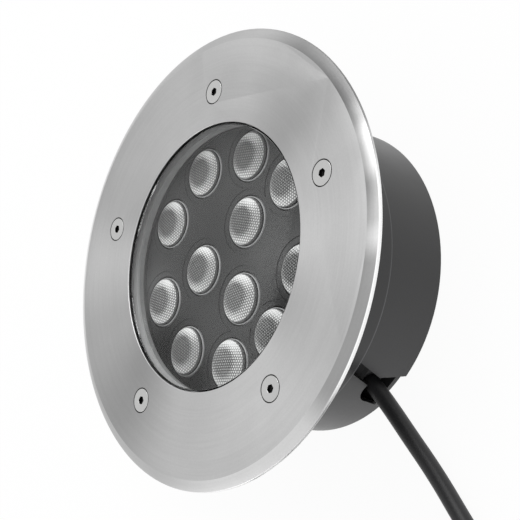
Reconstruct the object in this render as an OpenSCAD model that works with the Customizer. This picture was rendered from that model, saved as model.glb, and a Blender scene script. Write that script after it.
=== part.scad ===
// Recessed ground light: face ring, glass, twelve lenses, cast housing, mounting sleeve and supply cord.
// Origin on the lamp's axis at the rear rim of the sleeve, +Z towards the face, cord leaves along +X.

/* [Overall] */
// Height from the rear rim of the sleeve to the face
overall_h = 64; // [63:0.5:80]

/* [Face ring] */
// Outer diameter of the face ring
face_d = 180; // [170:1:200]
// Thickness of the face ring
face_t = 3.1; // [3:0.1:4]
// Width of the bevel round the outer edge
bevel_w = 4.3; // [2:0.1:6]
// Drop of the bevel from the face to the upright lip
bevel_drop = 1.9; // [1:0.1:2.2]
// How far the edge of the opening stands back from the wall of the well
opening_step = 0.65; // [0.4:0.05:0.9]
// Chamfer round the edge of the opening
opening_chamfer = 0.3; // [0.1:0.1:0.6]

/* [Face screws] */
// Number of screws round the face
screw_count = 5; // [3:1:8]
// Distance from the housing cup to the circle of the screws
screw_out = 6.9; // [6.4:0.1:8.4]
// Angle of the first screw from the cord's side
screw_phase = -2; // [-10:1:10]
// Shank diameter
screw_d = 5; // [4:0.5:5.5]
// Head diameter at the face
screw_head_d = 9.4; // [8.5:0.1:9.8]
// Length of the screw with its head
screw_len = 12; // [9:0.5:12.5]
// Width across the flats of the hexagon socket
hex_af = 3; // [2.5:0.1:3.4]
// Depth of the hexagon socket
hex_depth = 1.8; // [1:0.1:2]
// Straight land at the rim of the head
head_land = 0.4; // [0.2:0.1:0.6]
// Gap between the head and its countersink
head_gap = 0.3; // [0.1:0.05:0.4]

/* [Cover glass and seals] */
// Thickness of the glass
glass_t = 8; // [6.5:0.1:8.5]
// Depth of the glass below the face
glass_recess = 1; // [0.5:0.1:1.4]
// Gap between the glass and the edge of the opening
glass_gap = 0.3; // [0.2:0.05:0.5]
// Width of the step that the ring clamps
glass_step_w = 7; // [5:0.1:7.2]
// Ground chamfer on the upper edge of the glass
glass_chamfer = 0.5; // [0.2:0.1:0.7]
// Thickness of the seal over the glass step
upper_seal_t = 1; // [0.6:0.1:1.4]
// Thickness of the seal under the glass
lower_seal_t = 1.2; // [0.8:0.1:1.6]

/* [Lamp housing] */
// Width of the housing flange outside the cup
flange_w = 15.4; // [14.4:0.1:19.4]
// Depth of the housing flange below the ring
flange_h = 10; // [9.5:0.5:11]
// Distance from the outer circle of lenses to the wall of the well
well_margin = 11.4; // [11.2:0.1:12.4]
// Wall of the cup round the well
cup_wall = 7.6; // [7.5:0.1:9]
// Wall of the driver bay
bay_wall = 3; // [2.5:0.1:4]
// Width of the ledge that carries the lens plate
ledge_w = 0.8; // [0.6:0.1:0.8]
// Thickness of the floor that takes the heat of the board
sink_t = 4; // [3:0.1:5]
// Number of cooling grooves round the cup
fin_count = 36; // [12:1:48]
// Width of a cooling groove
fin_gap = 5; // [3:0.1:6]
// Depth of a cooling groove
fin_depth = 1.5; // [0.8:0.1:1.6]

/* [Lens plate] */
// Depth of the lens plate below the face
plate_depth = 14.2; // [13.8:0.1:14.4]
// Thickness of the lens plate
plate_t = 1.5; // [1:0.1:1.8]
// Height of the upturned edge of the lens plate
plate_edge_h = 1.5; // [1:0.1:2.4]
// Thickness of the upturned edge
plate_edge_t = 0.5; // [0.3:0.1:0.5]
// Width of the dish round the hole for a lens
dish_w = 2.3; // [1.8:0.1:2.5]
// Depth of the dish round a lens
dish_depth = 0.3; // [0.2:0.1:0.6]
// Gap between a lens holder and its hole in the plate
hole_gap = 0.2; // [0.1:0.05:0.3]

/* [Lenses] */
// Depth of the rim of a lens below the face
lens_depth = 13.8; // [13:0.1:14]
// Diameter of the bead front of a lens
lens_d = 18.6; // [17:0.1:18.8]
// Height of a lens from its foot to its rim
lens_h = 10; // [9:0.1:10.5]
// Rise of the dome over the rim
dome_h = 0.8; // [0.3:0.1:1.1]
// Thickness of the rim of a lens
lens_rim_t = 1.3; // [1:0.1:1.6]
// How far the rim of a lens stands over its holder
holder_drop = 0.6; // [0.3:0.1:0.8]
// Wall of a lens holder
holder_wall = 1; // [0.7:0.1:1.2]
// Radius of the outer circle of lenses
outer_r = 40.6; // [38:0.1:49]
// Size of the emitter package
led_size = 3.5; // [3:0.1:3.8]

/* [Board and driver] */
// Gap between the emitter board and the wall of the well
board_gap = 2; // [1.5:0.1:3]
// Thickness of the emitter board
board_t = 1.6; // [1:0.1:2]
// Thickness of the thermal pad
pad_t = 0.5; // [0.3:0.1:1]
// Length of the driver board
driver_l = 80; // [70:1:84]
// Width of the driver board
driver_w = 36; // [32:1:40]
// Thickness of the driver board
driver_t = 1.6; // [1.2:0.1:2]
// Height of the posts that carry the driver board
post_h = 3; // [2:0.1:4]
// Diameter of the screws inside the housing
inner_screw_d = 3; // [2.5:0.1:3.5]

/* [Back cover and gland] */
// Height of the underside of the back cover over the sleeve's base
cover_z = 14; // [13.6:0.1:15]
// Thickness of the back cover
cover_t = 3; // [2.5:0.1:3.5]
// Thickness of the gasket on the back cover
cover_gasket_t = 0.8; // [0.5:0.1:1.2]
// Number of back cover screws
cover_screw_count = 6; // [4:1:8]
// Diameter of the back cover screws
cover_screw_d = 4; // [3:0.1:4.2]
// Length of the gland block in front of the cores
block_l = 14; // [13:0.5:16]
// Width of the gland block
block_w = 17; // [16:0.5:20]
// Width across the flats of the gland body
gland_af = 13; // [12:0.1:13]
// Outer diameter of the gland nut
nut_d = 13; // [12.4:0.1:13.2]
// Length of the gland nut
nut_l = 13; // [12:0.1:13.4]
// Gap between the gland nut and the bore of the sleeve
nut_clear = 3.5; // [3:0.1:4.5]

/* [Mounting sleeve] */
// Gap between the housing cup and the bore of the sleeve
sleeve_gap = 0.9; // [0.7:0.1:1.1]
// Wall of the sleeve
sleeve_wall = 2.2; // [2:0.1:2.6]
// Thickness of the sleeve's base
base_t = 2.2; // [1.6:0.1:2.6]
// Thickness of the sleeve's top flange
sleeve_flange_t = 3; // [2:0.1:4]
// Height of the collar's lower edge
collar_z = 27.8; // [24:0.1:32]
// How far the collar stands proud of the sleeve
collar_proud = 0.8; // [0.4:0.1:1.2]
// Thickness of the seal between the two flanges
flange_seal_t = 1; // [0.6:0.1:1.5]
// Number of gussets under the sleeve's flange
gusset_count = 12; // [6:1:18]
// Width of the cable notch at the rear rim
notch_w = 17.6; // [16:0.1:19]
// Radius of the arch at the top of the notch
notch_r = 6.9; // [6:0.1:7.5]
// Height of the notch
notch_h = 16.2; // [15:0.1:17.4]
// Width of the slanted slot
slot_w = 5.2; // [3:0.1:6]
// Slant of the slot from the axis
slot_slant = 21; // [0:1:30]
// Diameter of the drain holes in the base
drain_d = 8; // [6:0.5:10]
// Number of drain holes round the base
drain_count = 6; // [3:1:8]

/* [Cord] */
// Outer diameter of the supply cord
cord_d = 6.8; // [6:0.1:7.2]
// Outer diameter of a core
core_d = 2.3; // [1.8:0.1:2.6]
// Diameter of a stripped copper end
copper_d = 1.3; // [1:0.1:1.6]
// Width of the tie round the coil
tie_w = 3.6; // [2.5:0.1:5]
// Thickness of the tie
tie_t = 1; // [0.8:0.1:1.2]

/* [Hidden] */
LENSES = 12;

$fn = 96;
// Sides of small round pieces
small_fn = 36;
// Overrun of every cut past the face that it opens
cut = 0.5;
// Running gap between pieces that seat in each other
fit = 0.3;
// Close gap where a round piece fills its hole
snug = 0.1;

// Heights of the stack, from the face down
face_z = overall_h;
ring_under_z = face_z - face_t;
step_z = ring_under_z - upper_seal_t;
glass_top_z = face_z - glass_recess;
glass_under_z = glass_top_z - glass_t;
seat_z = glass_under_z - lower_seal_t;
flange_under_z = ring_under_z - flange_h;
plate_z = face_z - plate_depth;
plate_under_z = plate_z - plate_t;
dish_z = plate_z - dish_depth;
plate_edge_z = plate_z + plate_edge_h;
lens_rim_z = face_z - lens_depth;
lens_foot_z = lens_rim_z - lens_h;
board_z = lens_foot_z - fit;
board_under_z = board_z - board_t;
sink_z = board_under_z - pad_t;
sink_under_z = sink_z - sink_t;
driver_z = sink_under_z - post_h;
driver_under_z = driver_z - driver_t;

// Heights of the rear, from the sleeve's base up
cover_under_z = base_t + cover_z;
cover_top_z = cover_under_z + cover_t;
rear_rim_z = cover_top_z + cover_gasket_t;
sleeve_top_z = flange_under_z - flange_seal_t;
sleeve_flange_under_z = sleeve_top_z - sleeve_flange_t;

// Radii of the seats
well_r = outer_r + well_margin;
ledge_r = well_r - ledge_w;
plate_r = well_r - fit;
board_r = well_r - board_gap;
opening_r = well_r + opening_step;
glass_r = opening_r - glass_gap;
glass_step_r = glass_r + glass_step_w;
cup_r = well_r + cup_wall;
bay_r = cup_r - bay_wall;
screw_circle_r = cup_r + screw_out;
flange_r = cup_r + flange_w;
sleeve_bore_r = cup_r + sleeve_gap;
sleeve_r = sleeve_bore_r + sleeve_wall;
collar_r = sleeve_r + collar_proud;
face_r = face_d / 2;

// Places of the lenses: angle in degrees and distance as a share of the outer circle
lens_angles = [2, 39, 89, 126, 165, 203, 249.5, 287.5, 325.5, 105, 240, 348.5];
lens_radius_shares = [1, 1, 1, 1, 1, 1, 1, 1, 1, 0.41, 0.37, 0.44];
// Angles of the emitter board's screws, and their distance as a share of the outer circle
board_screw_angles = [64, 183, 308];
board_screw_share = 0.665;
// The lens below its rim: heights as shares of the height, radii as shares of the rim
cone_height_shares = [0, 0.2, 0.45, 0.7, 0.87];
cone_radius_shares = [0.36, 0.55, 0.73, 0.87, 0.96];
lens_r = lens_d / 2;
holder_r = lens_r + holder_wall;
plate_hole_r = holder_r + hole_gap;
dish_r = plate_hole_r + dish_w;
holder_foot_share = 0.62;
holder_top_z = lens_rim_z - holder_drop;
holder_rest_z = lens_rim_z - lens_rim_t;
led_pocket_r = 2.8;
led_pocket_h = 2.6;
led_t = 1;
led_dome_r = 1.3;

// Screws and small pieces inside
pan_head_share = 1.9;
pan_height_share = 0.6;
board_screw_depth = 3;
lead_x = -16;
lead_d = 1.6;
lead_pitch = 2.4;
grommet_r = 4;
grommet_lip = 1.2;
grommet_lip_t = 1;
post_r = 3;
post_inset = 4;
driver_x = -2;
driver_screw_l = 5;
transformer_size = [17, 14, 7];
transformer_x = -10;
capacitor_r = 4;
capacitor_h = 7;
capacitor_x = 8;
capacitor_y = 8;
terminal_size = [12, 13, 7];
cover_screw_r = bay_r - cover_screw_d;
// Half a step, so that no screw stands over the gland
cover_screw_phase = 180 / cover_screw_count;
cover_boss_r = cover_screw_d;
cover_boss_h = 9;
cover_screw_l = 8;
cover_edge = 0.6;

// Cord entry
gland_z = 9.2;
cord_r = cord_d / 2;
core_r = core_d / 2;
core_pitch = 2.7;
entry_r = 5;
block_floor = 1;
block_back = 6;
spigot_l = 6;
spigot_wall = 1.8;
gland_flange_t = 3.5;
gland_bore_r = cord_r + snug;
gland_thread_r = gland_bore_r + spigot_wall;
seal_l = 3;
nut_gap = 0.5;
nut_end_t = 2.2;
nut_taper = 1.6;
cord_exit_x = sleeve_bore_r - nut_clear;
nut_x = cord_exit_x - nut_l;
block_x = nut_x - nut_gap - gland_flange_t;
core_x = block_x - block_l;
// The seal is squeezed between the end of the body and the end wall of the nut
gland_stub_l = nut_gap + nut_l - nut_end_t - seal_l;
inner_end_x = core_x + core_r + fit;

// Sleeve details
notch_arch_z = notch_h - notch_r;
slot_y = 6.7;
slot_mid_z = 21;
slot_l = 20;
drain_ring_r = 32;
center_drain_d = 14;
gusset_t = 2;
gusset_h = 5;
gusset_inset = 2;
o_ring_r = 1.25;
o_ring_z = sleeve_top_z - 4 * o_ring_r;
fin_top_z = o_ring_z - 3 * o_ring_r;
fin_foot = 3;
fin_bottom_z = rear_rim_z + fin_foot;

// Route of the free cord from the gland to the coil, chosen by hand
cord_route = [[57, 0, 9.2], [59, 0, 9.2], [63, 0, 8.5], [67, 0, 7.7], [72, 0, 7], [78, 0, 6.3],
    [84, 0, 5.7], [90, 0, 5], [96, 0, 4.3], [102, 0, 3.8], [109, 0, 3.5], [118, 0, 3.5],
    [133, 0, 3.5], [148, 0, 3.5]];
// Route of the tail from the coil to its stripped end
tail_route = [[148, -90, 10.8], [146, -90, 10.8], [141, -90.2, 9.9], [135, -90.8, 7.8], [128, -91.6, 5.2],
    [121, -92.6, 3.9], [114, -93.8, 3.5], [106, -95.4, 3.5]];
// Routes of the three cores past the end of the sheath
brown_route = [[105.8, -94.2, 4.2], [103.8, -94.6, 4.2], [97, -94.8, 2.6], [88, -93, 1.4], [76, -90, 1.3]];
blue_route = [[106, -95.4, 2], [104, -95.8, 2], [97, -97.6, 1.4], [87, -99.2, 1.3], [75, -100.6, 1.3]];
earth_route = [[106.2, -96.6, 4.2], [104.2, -97, 4.2], [98, -99.8, 2.6], [89, -104.6, 1.4],
    [79, -110.6, 1.3]];
brown_tip = [[76, -90, 1.3], [69, -88.2, 1.3]];
blue_tip = [[75, -100.6, 1.3], [67.6, -101.5, 1.3]];
earth_tip = [[79, -110.6, 1.3], [73, -114.2, 1.3]];
cord_sides = 10;
core_sides = 8;

// Coil: turns that spiral in on the floor, climb a layer in half a turn and spiral out again
coil_c = [155, -45];
coil_start_r = 45;
coil_turns = 3.5;
coil_pitch = 7.4;
coil_layer = 7.3;
coil_floor = 3.5;
coil_end_l = 7;
coil_rings = 24;
coil_sides = 6;
coil_climb = 0.5;
tie_gap = 0.3;
tie_lift = 1.2;
tie_spread = 22;
tie_head = [3, 5, 5];

function smooth(x) = let (t = min(1, max(0, x))) t * t * (3 - 2 * t);
function coil_radius(u) = coil_start_r - coil_pitch * min(u, coil_turns - u);
function coil_angle(u) = 90 - 360 * u;
function coil_rise(u) = coil_layer * smooth((u - (coil_turns - coil_climb) / 2) / coil_climb);
// Angle from the tie, between -180 and 180 degrees
function tie_angle(u) = ((coil_angle(u) % 360) + 540) % 360 - 180;
function coil_lift(u) = tie_lift * exp(-pow(tie_angle(u) / tie_spread, 2));
function coil_point(u) = [
    coil_c[0] + coil_radius(u) * cos(coil_angle(u)),
    coil_c[1] + coil_radius(u) * sin(coil_angle(u)),
    coil_floor + coil_rise(u) + coil_lift(u)];
coil_steps = coil_turns * coil_rings;
coil_path = concat(
    [coil_point(0) - [coil_end_l, 0, 0]],
    [for (i = [0 : coil_steps]) coil_point(i / coil_rings)],
    [coil_point(coil_turns) - [coil_end_l, 0, 0]]);
half_turn = coil_rings / 2;
coil_gap = min([for (i = [0 : len(coil_path) - 1])
    for (j = [i + half_turn : 1 : len(coil_path) - 1]) norm(coil_path[i] - coil_path[j])]) - cord_d;
echo(coil_gap = coil_gap);

function unit(v) = v / norm(v);
function tangent(path, i) = unit(path[min(i + 1, len(path) - 1)] - path[max(i - 1, 0)]);
// Ring of a tube: a polygon square to the path, with one side downwards
function tube_ring(path, i, r, sides) =
    let (t = tangent(path, i), side = unit(cross(t, [0, 0, 1])), up = cross(side, t))
    [for (k = [0 : sides - 1]) let (a = 360 * (k + 0.5) / sides)
        path[i] + r * (cos(a) * side + sin(a) * up)];

// Unbroken tube swept along a path
module tube(path, r, sides) {
    last = len(path) - 1;
    walls = [for (i = [0 : last - 1]) for (k = [0 : sides - 1])
        let (a = i * sides + k, b = i * sides + (k + 1) % sides)
        each [[a, b, b + sides], [a, b + sides, a + sides]]];
    start_cap = [for (k = [1 : sides - 2]) [0, k + 1, k]];
    end_cap = [for (k = [1 : sides - 2]) [last * sides, last * sides + k, last * sides + k + 1]];
    polyhedron(
        points = [for (i = [0 : last]) each tube_ring(path, i, r, sides)],
        faces = concat(walls, start_cap, end_cap));
}

// Flat ring between two radii
module flat_ring(outer_r, inner_r, low_z, high_z) {
    translate([0, 0, low_z]) difference() {
        cylinder(r = outer_r, h = high_z - low_z);
        translate([0, 0, -cut]) cylinder(r = inner_r, h = high_z - low_z + 2 * cut);
    }
}

// Disc or cylinder between two heights
module disc(r, low_z, high_z) {
    translate([0, 0, low_z]) cylinder(r = r, h = high_z - low_z);
}

// Copies its children at equal angles on a circle
module around(count, radius, phase = 0) {
    for (i = [0 : count - 1]) rotate([0, 0, phase + 360 * i / count]) translate([radius, 0, 0]) children();
}

// Moves its children to one lens place, or copies them to all
module at_lens(i) {
    rotate([0, 0, lens_angles[i]]) translate([outer_r * lens_radius_shares[i], 0, 0]) children();
}
module at_lenses() {
    for (i = [0 : LENSES - 1]) at_lens(i) children();
}

// Pan-head screw whose head stands on z = 0 and whose shank points up
module pan_screw(d, length) {
    $fn = small_fn;
    disc(d * pan_head_share / 2, -d * pan_height_share, 0);
    disc(d / 2, -d * pan_height_share / 2, length);
}

// Countersunk head and shank as one revolved outline, top face at z = 0, grown by a gap
module countersunk(length, gap) {
    head_r = screw_head_d / 2 + gap;
    shank_r = screw_d / 2 + gap;
    cone_low = head_land + head_r - shank_r;
    $fn = small_fn;
    rotate_extrude() polygon([[0, 0], [head_r, 0], [head_r, -head_land], [shank_r, -cone_low],
        [shank_r, -length], [0, -length]]);
}

module face_ring() {
    color([0.72, 0.72, 0.71]) difference() {
        rotate_extrude() polygon([
            [opening_r, ring_under_z], [face_r, ring_under_z], [face_r, face_z - bevel_drop],
            [face_r - bevel_w, face_z], [opening_r + opening_chamfer, face_z],
            [opening_r, face_z - opening_chamfer]]);
        around(screw_count, screw_circle_r, screw_phase) translate([0, 0, face_z]) {
            countersunk(face_t + cut, head_gap);
            disc(screw_head_d / 2 + head_gap, -head_land, cut);
        }
    }
}

module face_screws() {
    color([0.78, 0.78, 0.77]) around(screw_count, screw_circle_r, screw_phase)
        translate([0, 0, face_z]) difference() {
            countersunk(screw_len, 0);
            translate([0, 0, -hex_depth]) cylinder(d = hex_af / cos(30), h = hex_depth + cut, $fn = 6);
        }
}

module glass_gasket_upper() {
    color([0.15, 0.15, 0.16]) flat_ring(glass_step_r, opening_r, step_z, ring_under_z);
}

module cover_glass() {
    color([0.85, 0.92, 0.92, 0.35]) rotate_extrude() polygon([
        [0, glass_under_z], [glass_step_r, glass_under_z], [glass_step_r, step_z], [glass_r, step_z],
        [glass_r, glass_top_z - glass_chamfer], [glass_r - glass_chamfer, glass_top_z], [0, glass_top_z]]);
}

module glass_gasket_lower() {
    color([0.35, 0.35, 0.36]) flat_ring(glass_step_r, well_r, seat_z, glass_under_z);
}

// Bosses for the screws of the back cover, each joined to the wall by a web
module cover_pads(low_z, high_z) {
    around(cover_screw_count, cover_screw_r, cover_screw_phase) {
        disc(cover_boss_r, low_z, high_z);
        translate([0, -cover_boss_r / 2, low_z])
            cube([bay_r - cover_screw_r + cut, cover_boss_r, high_z - low_z]);
    }
}

module cover_screw_holes(low_z, high_z) {
    around(cover_screw_count, cover_screw_r, cover_screw_phase)
        disc(cover_screw_d / 2 + snug, low_z, high_z, $fn = small_fn);
}

// Outline of the cast housing: flange, glass seat, well, ledge, floor and driver bay
module housing_body() {
    rotate_extrude() polygon([
        [0, sink_under_z], [bay_r, sink_under_z], [bay_r, rear_rim_z], [cup_r, rear_rim_z],
        [cup_r, flange_under_z], [flange_r, flange_under_z], [flange_r, ring_under_z],
        [glass_step_r + fit, ring_under_z], [glass_step_r + fit, seat_z], [well_r, seat_z],
        [well_r, plate_under_z], [ledge_r, plate_under_z], [ledge_r, sink_z], [0, sink_z]]);
}

module driver_posts(r, low_z, high_z) {
    for (sx = [-1, 1]) for (sy = [-1, 1])
        translate([driver_x + sx * (driver_l / 2 - post_inset), sy * (driver_w / 2 - post_inset), 0])
            disc(r, low_z, high_z, $fn = small_fn);
}

module lamp_housing() {
    color([0.3, 0.3, 0.31]) difference() {
        union() {
            housing_body();
            driver_posts(post_r, driver_z, sink_under_z + cut);
            cover_pads(rear_rim_z, rear_rim_z + cover_boss_h);
        }
        // Cooling grooves
        around(fin_count, cup_r - fin_depth)
            translate([0, -fin_gap / 2, fin_bottom_z])
                cube([fin_depth + cut, fin_gap, fin_top_z - fin_bottom_z]);
        // Groove for the rubber ring
        flat_ring(cup_r + cut, sleeve_bore_r - snug - 2 * o_ring_r - snug, o_ring_z - o_ring_r - snug,
            o_ring_z + o_ring_r + snug);
        around(screw_count, screw_circle_r, screw_phase)
            disc(screw_d / 2 + snug, flange_under_z - cut, ring_under_z + cut, $fn = small_fn);
        board_screw_holes(sink_z - board_screw_depth - fit, sink_z + cut);
        translate([lead_x, 0, 0]) disc(grommet_r, sink_under_z - cut, sink_z + cut, $fn = small_fn);
        driver_posts(inner_screw_d / 2 + snug, driver_z - cut, sink_under_z + cut);
        cover_screw_holes(rear_rim_z - cut, rear_rim_z + cover_screw_l);
    }
}

module lens_plate() {
    edge_r = plate_r - plate_edge_t;
    color([0.22, 0.23, 0.24]) difference() {
        rotate_extrude() polygon([
            [0, plate_under_z], [plate_r, plate_under_z], [plate_r, plate_edge_z], [edge_r, plate_edge_z],
            [edge_r, plate_z], [0, plate_z]]);
        at_lenses() disc(plate_hole_r, plate_under_z - cut, plate_z + cut);
        // The dishes stop at the upturned edge
        intersection() {
            at_lenses() disc(dish_r, dish_z, plate_z + cut);
            disc(edge_r, plate_under_z, plate_edge_z);
        }
    }
}

// Lens number i: conical back with a pocket for the emitter, rim and shallow dome
module lens(i) {
    sphere_r = (pow(lens_r, 2) + pow(dome_h, 2)) / (2 * dome_h);
    cone_h = lens_h - lens_rim_t;
    $fn = small_fn;
    color([0.8, 0.82, 0.85]) at_lens(i - 1) difference() {
        union() {
            translate([0, 0, lens_foot_z]) rotate_extrude() polygon(concat(
                [[0, 0]],
                [for (i = [0 : len(cone_height_shares) - 1])
                    [lens_r * cone_radius_shares[i], cone_h * cone_height_shares[i]]],
                [[lens_r * cone_radius_shares[len(cone_radius_shares) - 1], cone_h], [lens_r, cone_h],
                 [lens_r, lens_h], [0, lens_h]]));
            intersection() {
                translate([0, 0, lens_rim_z + dome_h - sphere_r]) sphere(r = sphere_r, $fn = 96);
                disc(lens_r, lens_rim_z - lens_rim_t / 2, lens_rim_z + 2 * dome_h);
            }
        }
        disc(led_pocket_r, lens_foot_z - cut, lens_foot_z + led_pocket_h);
    }
}

module lens_holder() {
    foot_r = holder_r * holder_foot_share;
    cone_h = holder_rest_z - board_z;
    $fn = small_fn;
    rotate_extrude() polygon(concat(
        [[foot_r, board_z], [holder_r, board_z + cone_h * cone_height_shares[2]],
         [holder_r, holder_top_z], [lens_r + snug, holder_top_z], [lens_r + snug, holder_rest_z]],
        [for (i = [len(cone_height_shares) - 1 : -1 : 1])
            [lens_r * cone_radius_shares[i] + snug,
             lens_foot_z + (lens_h - lens_rim_t) * cone_height_shares[i]]],
        [[lens_r * cone_radius_shares[0] + fit, board_z]]));
}

module lens_holders() {
    color([0.62, 0.62, 0.62]) at_lenses() lens_holder();
}

module leds() {
    color([0.95, 0.85, 0.4]) at_lenses() {
        translate([-led_size / 2, -led_size / 2, board_z]) cube([led_size, led_size, led_t]);
        translate([0, 0, board_z + led_t]) intersection() {
            sphere(r = led_dome_r, $fn = small_fn);
            disc(led_size, -led_t / 2, led_size);
        }
    }
}

// Places of the screws that hold the emitter board
module at_board_screws() {
    for (a = board_screw_angles)
        rotate([0, 0, a]) translate([outer_r * board_screw_share, 0, 0]) children();
}

module board_screw_holes(low_z, high_z) {
    at_board_screws() disc(inner_screw_d / 2 + snug, low_z, high_z, $fn = small_fn);
}

module led_board() {
    color([0.9, 0.9, 0.88]) difference() {
        disc(board_r, board_under_z, board_z);
        board_screw_holes(board_under_z - cut, board_z + cut);
    }
}

module thermal_pad() {
    color([0.45, 0.55, 0.65]) difference() {
        disc(board_r, sink_z, board_under_z);
        board_screw_holes(sink_z - cut, board_under_z + cut);
        translate([lead_x, 0, 0]) disc(grommet_r, sink_z - cut, board_under_z + cut, $fn = small_fn);
    }
}

module board_screws() {
    color([0.7, 0.7, 0.7]) at_board_screws() translate([0, 0, board_z]) rotate([180, 0, 0])
        pan_screw(inner_screw_d, board_t + pad_t + board_screw_depth);
}

module at_leads() {
    for (side = [-1, 1]) translate([lead_x, side * lead_pitch / 2, 0]) children();
}

module lead_grommet() {
    $fn = small_fn;
    color([0.12, 0.12, 0.12]) difference() {
        union() {
            translate([lead_x, 0, 0]) disc(grommet_r - snug, sink_under_z, sink_z);
            translate([lead_x, 0, 0])
                disc(grommet_r + grommet_lip, sink_under_z - grommet_lip_t, sink_under_z);
        }
        at_leads() disc(lead_d / 2 + snug, sink_under_z - grommet_lip_t - cut, sink_z + cut);
    }
}

module led_leads() {
    color([0.75, 0.1, 0.1]) at_leads() disc(lead_d / 2, driver_z, board_under_z, $fn = small_fn);
}

module driver_board() {
    color([0.1, 0.4, 0.2]) difference() {
        translate([driver_x - driver_l / 2, -driver_w / 2, driver_under_z])
            cube([driver_l, driver_w, driver_t]);
        driver_posts(inner_screw_d / 2 + snug, driver_under_z - cut, driver_z + cut);
    }
}

module driver_screws() {
    color([0.7, 0.7, 0.7])
        for (sx = [-1, 1]) for (sy = [-1, 1])
            translate([driver_x + sx * (driver_l / 2 - post_inset), sy * (driver_w / 2 - post_inset),
                driver_under_z]) pan_screw(inner_screw_d, driver_screw_l);
}

// Block that hangs under the driver board, centred on a point
module hanging_block(size, x) {
    translate([x - size[0] / 2, -size[1] / 2, driver_under_z - size[2]]) cube(size);
}

module driver_transformer() {
    color([0.85, 0.75, 0.25]) hanging_block(transformer_size, transformer_x);
}

module driver_capacitors() {
    color([0.1, 0.1, 0.25]) for (side = [-1, 1])
        translate([capacitor_x, side * capacitor_y, 0])
            disc(capacitor_r, driver_under_z - capacitor_h, driver_under_z, $fn = small_fn);
}

module terminal_block() {
    color([0.2, 0.5, 0.3]) hanging_block(terminal_size, core_x);
}

module back_cover() {
    bottom_z = gland_z - nut_d / 2;
    color([0.28, 0.28, 0.29]) difference() {
        union() {
            disc(cup_r - cover_edge, cover_under_z, cover_top_z);
            translate([core_x - block_back, -block_w / 2, bottom_z])
                cube([block_x - core_x + block_back, block_w, cover_under_z - bottom_z + cut]);
        }
        cover_screw_holes(cover_under_z - cut, cover_top_z + cut);
        // Bore for the gland, and the way up for the cores
        translate([core_x, 0, gland_z]) rotate([0, 90, 0])
            cylinder(r = gland_thread_r + snug, h = block_x - core_x + cut, $fn = small_fn);
        translate([core_x, 0, 0]) disc(entry_r, bottom_z + block_floor, cover_top_z + cut, $fn = small_fn);
    }
}

module back_cover_gasket() {
    color([0.1, 0.1, 0.1]) difference() {
        union() {
            flat_ring(cup_r - cover_edge, bay_r, cover_top_z, rear_rim_z);
            cover_pads(cover_top_z, rear_rim_z);
        }
        cover_screw_holes(cover_top_z - cut, rear_rim_z + cut);
    }
}

module back_cover_screws() {
    color([0.7, 0.7, 0.7]) around(cover_screw_count, cover_screw_r, cover_screw_phase)
        translate([0, 0, cover_under_z])
            pan_screw(cover_screw_d, cover_t + cover_gasket_t + cover_screw_l - fit);
}

// Turns a shape drawn along +Z so that it runs along +X on the gland's axis, from a given x
module on_gland_axis(x) {
    translate([x, 0, gland_z]) rotate([0, 90, 0]) children();
}

module gland_body() {
    body_l = spigot_l + gland_flange_t + gland_stub_l;
    color([0.13, 0.13, 0.13]) difference() {
        union() {
            on_gland_axis(block_x - spigot_l) cylinder(r = gland_thread_r, h = body_l, $fn = small_fn);
            on_gland_axis(block_x) cylinder(d = gland_af / cos(30), h = gland_flange_t, $fn = 6);
        }
        on_gland_axis(block_x - spigot_l - cut)
            cylinder(r = gland_bore_r, h = body_l + 2 * cut, $fn = small_fn);
    }
}

module gland_seal() {
    color([0.2, 0.2, 0.2]) on_gland_axis(block_x + gland_flange_t + gland_stub_l) difference() {
        cylinder(r = gland_thread_r, h = seal_l, $fn = small_fn);
        translate([0, 0, -cut]) cylinder(r = gland_bore_r, h = seal_l + 2 * cut, $fn = small_fn);
    }
}

module gland_nut() {
    nut_r = nut_d / 2;
    color([0.13, 0.13, 0.13]) on_gland_axis(nut_x) rotate_extrude($fn = small_fn) polygon([
        [gland_thread_r + snug, 0], [nut_r, 0], [nut_r, nut_l - nut_taper], [nut_r - nut_taper, nut_l],
        [gland_bore_r, nut_l], [gland_bore_r, nut_l - nut_end_t],
        [gland_thread_r + snug, nut_l - nut_end_t]]);
}

module cord_inner() {
    color([0.08, 0.08, 0.08]) on_gland_axis(inner_end_x)
        cylinder(r = cord_r, h = cord_exit_x - inner_end_x, $fn = small_fn);
}

module supply_cores() {
    color([0.35, 0.25, 0.2]) for (k = [-1 : 1]) translate([core_x, k * core_pitch, 0])
        disc(core_r, gland_z - core_r, driver_under_z - terminal_size[2], $fn = small_fn);
}

// Outline of the cable notch in the plane of the wall, open at the rear rim
module notch_outline() {
    translate([0, notch_arch_z]) circle(r = notch_r);
    polygon([[-notch_w / 2, -cut], [notch_w / 2, -cut], [notch_w / 2, 0], [notch_r, notch_arch_z],
        [-notch_r, notch_arch_z], [-notch_w / 2, 0]]);
}

// Cuts through the wall on the cord's side: the notch, and the slanted slot up to the collar
module sleeve_cuts() {
    depth = collar_r - sleeve_bore_r + sleeve_wall + notch_r;
    translate([collar_r + cut - depth, 0, 0]) rotate([90, 0, 90]) linear_extrude(depth) notch_outline();
    intersection() {
        translate([collar_r - depth, slot_y, slot_mid_z]) rotate([-slot_slant, 0, 0])
            translate([0, -slot_w / 2, -slot_l / 2]) cube([depth + cut, slot_w, slot_l]);
        disc(collar_r + cut, notch_arch_z, collar_z);
    }
}

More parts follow.
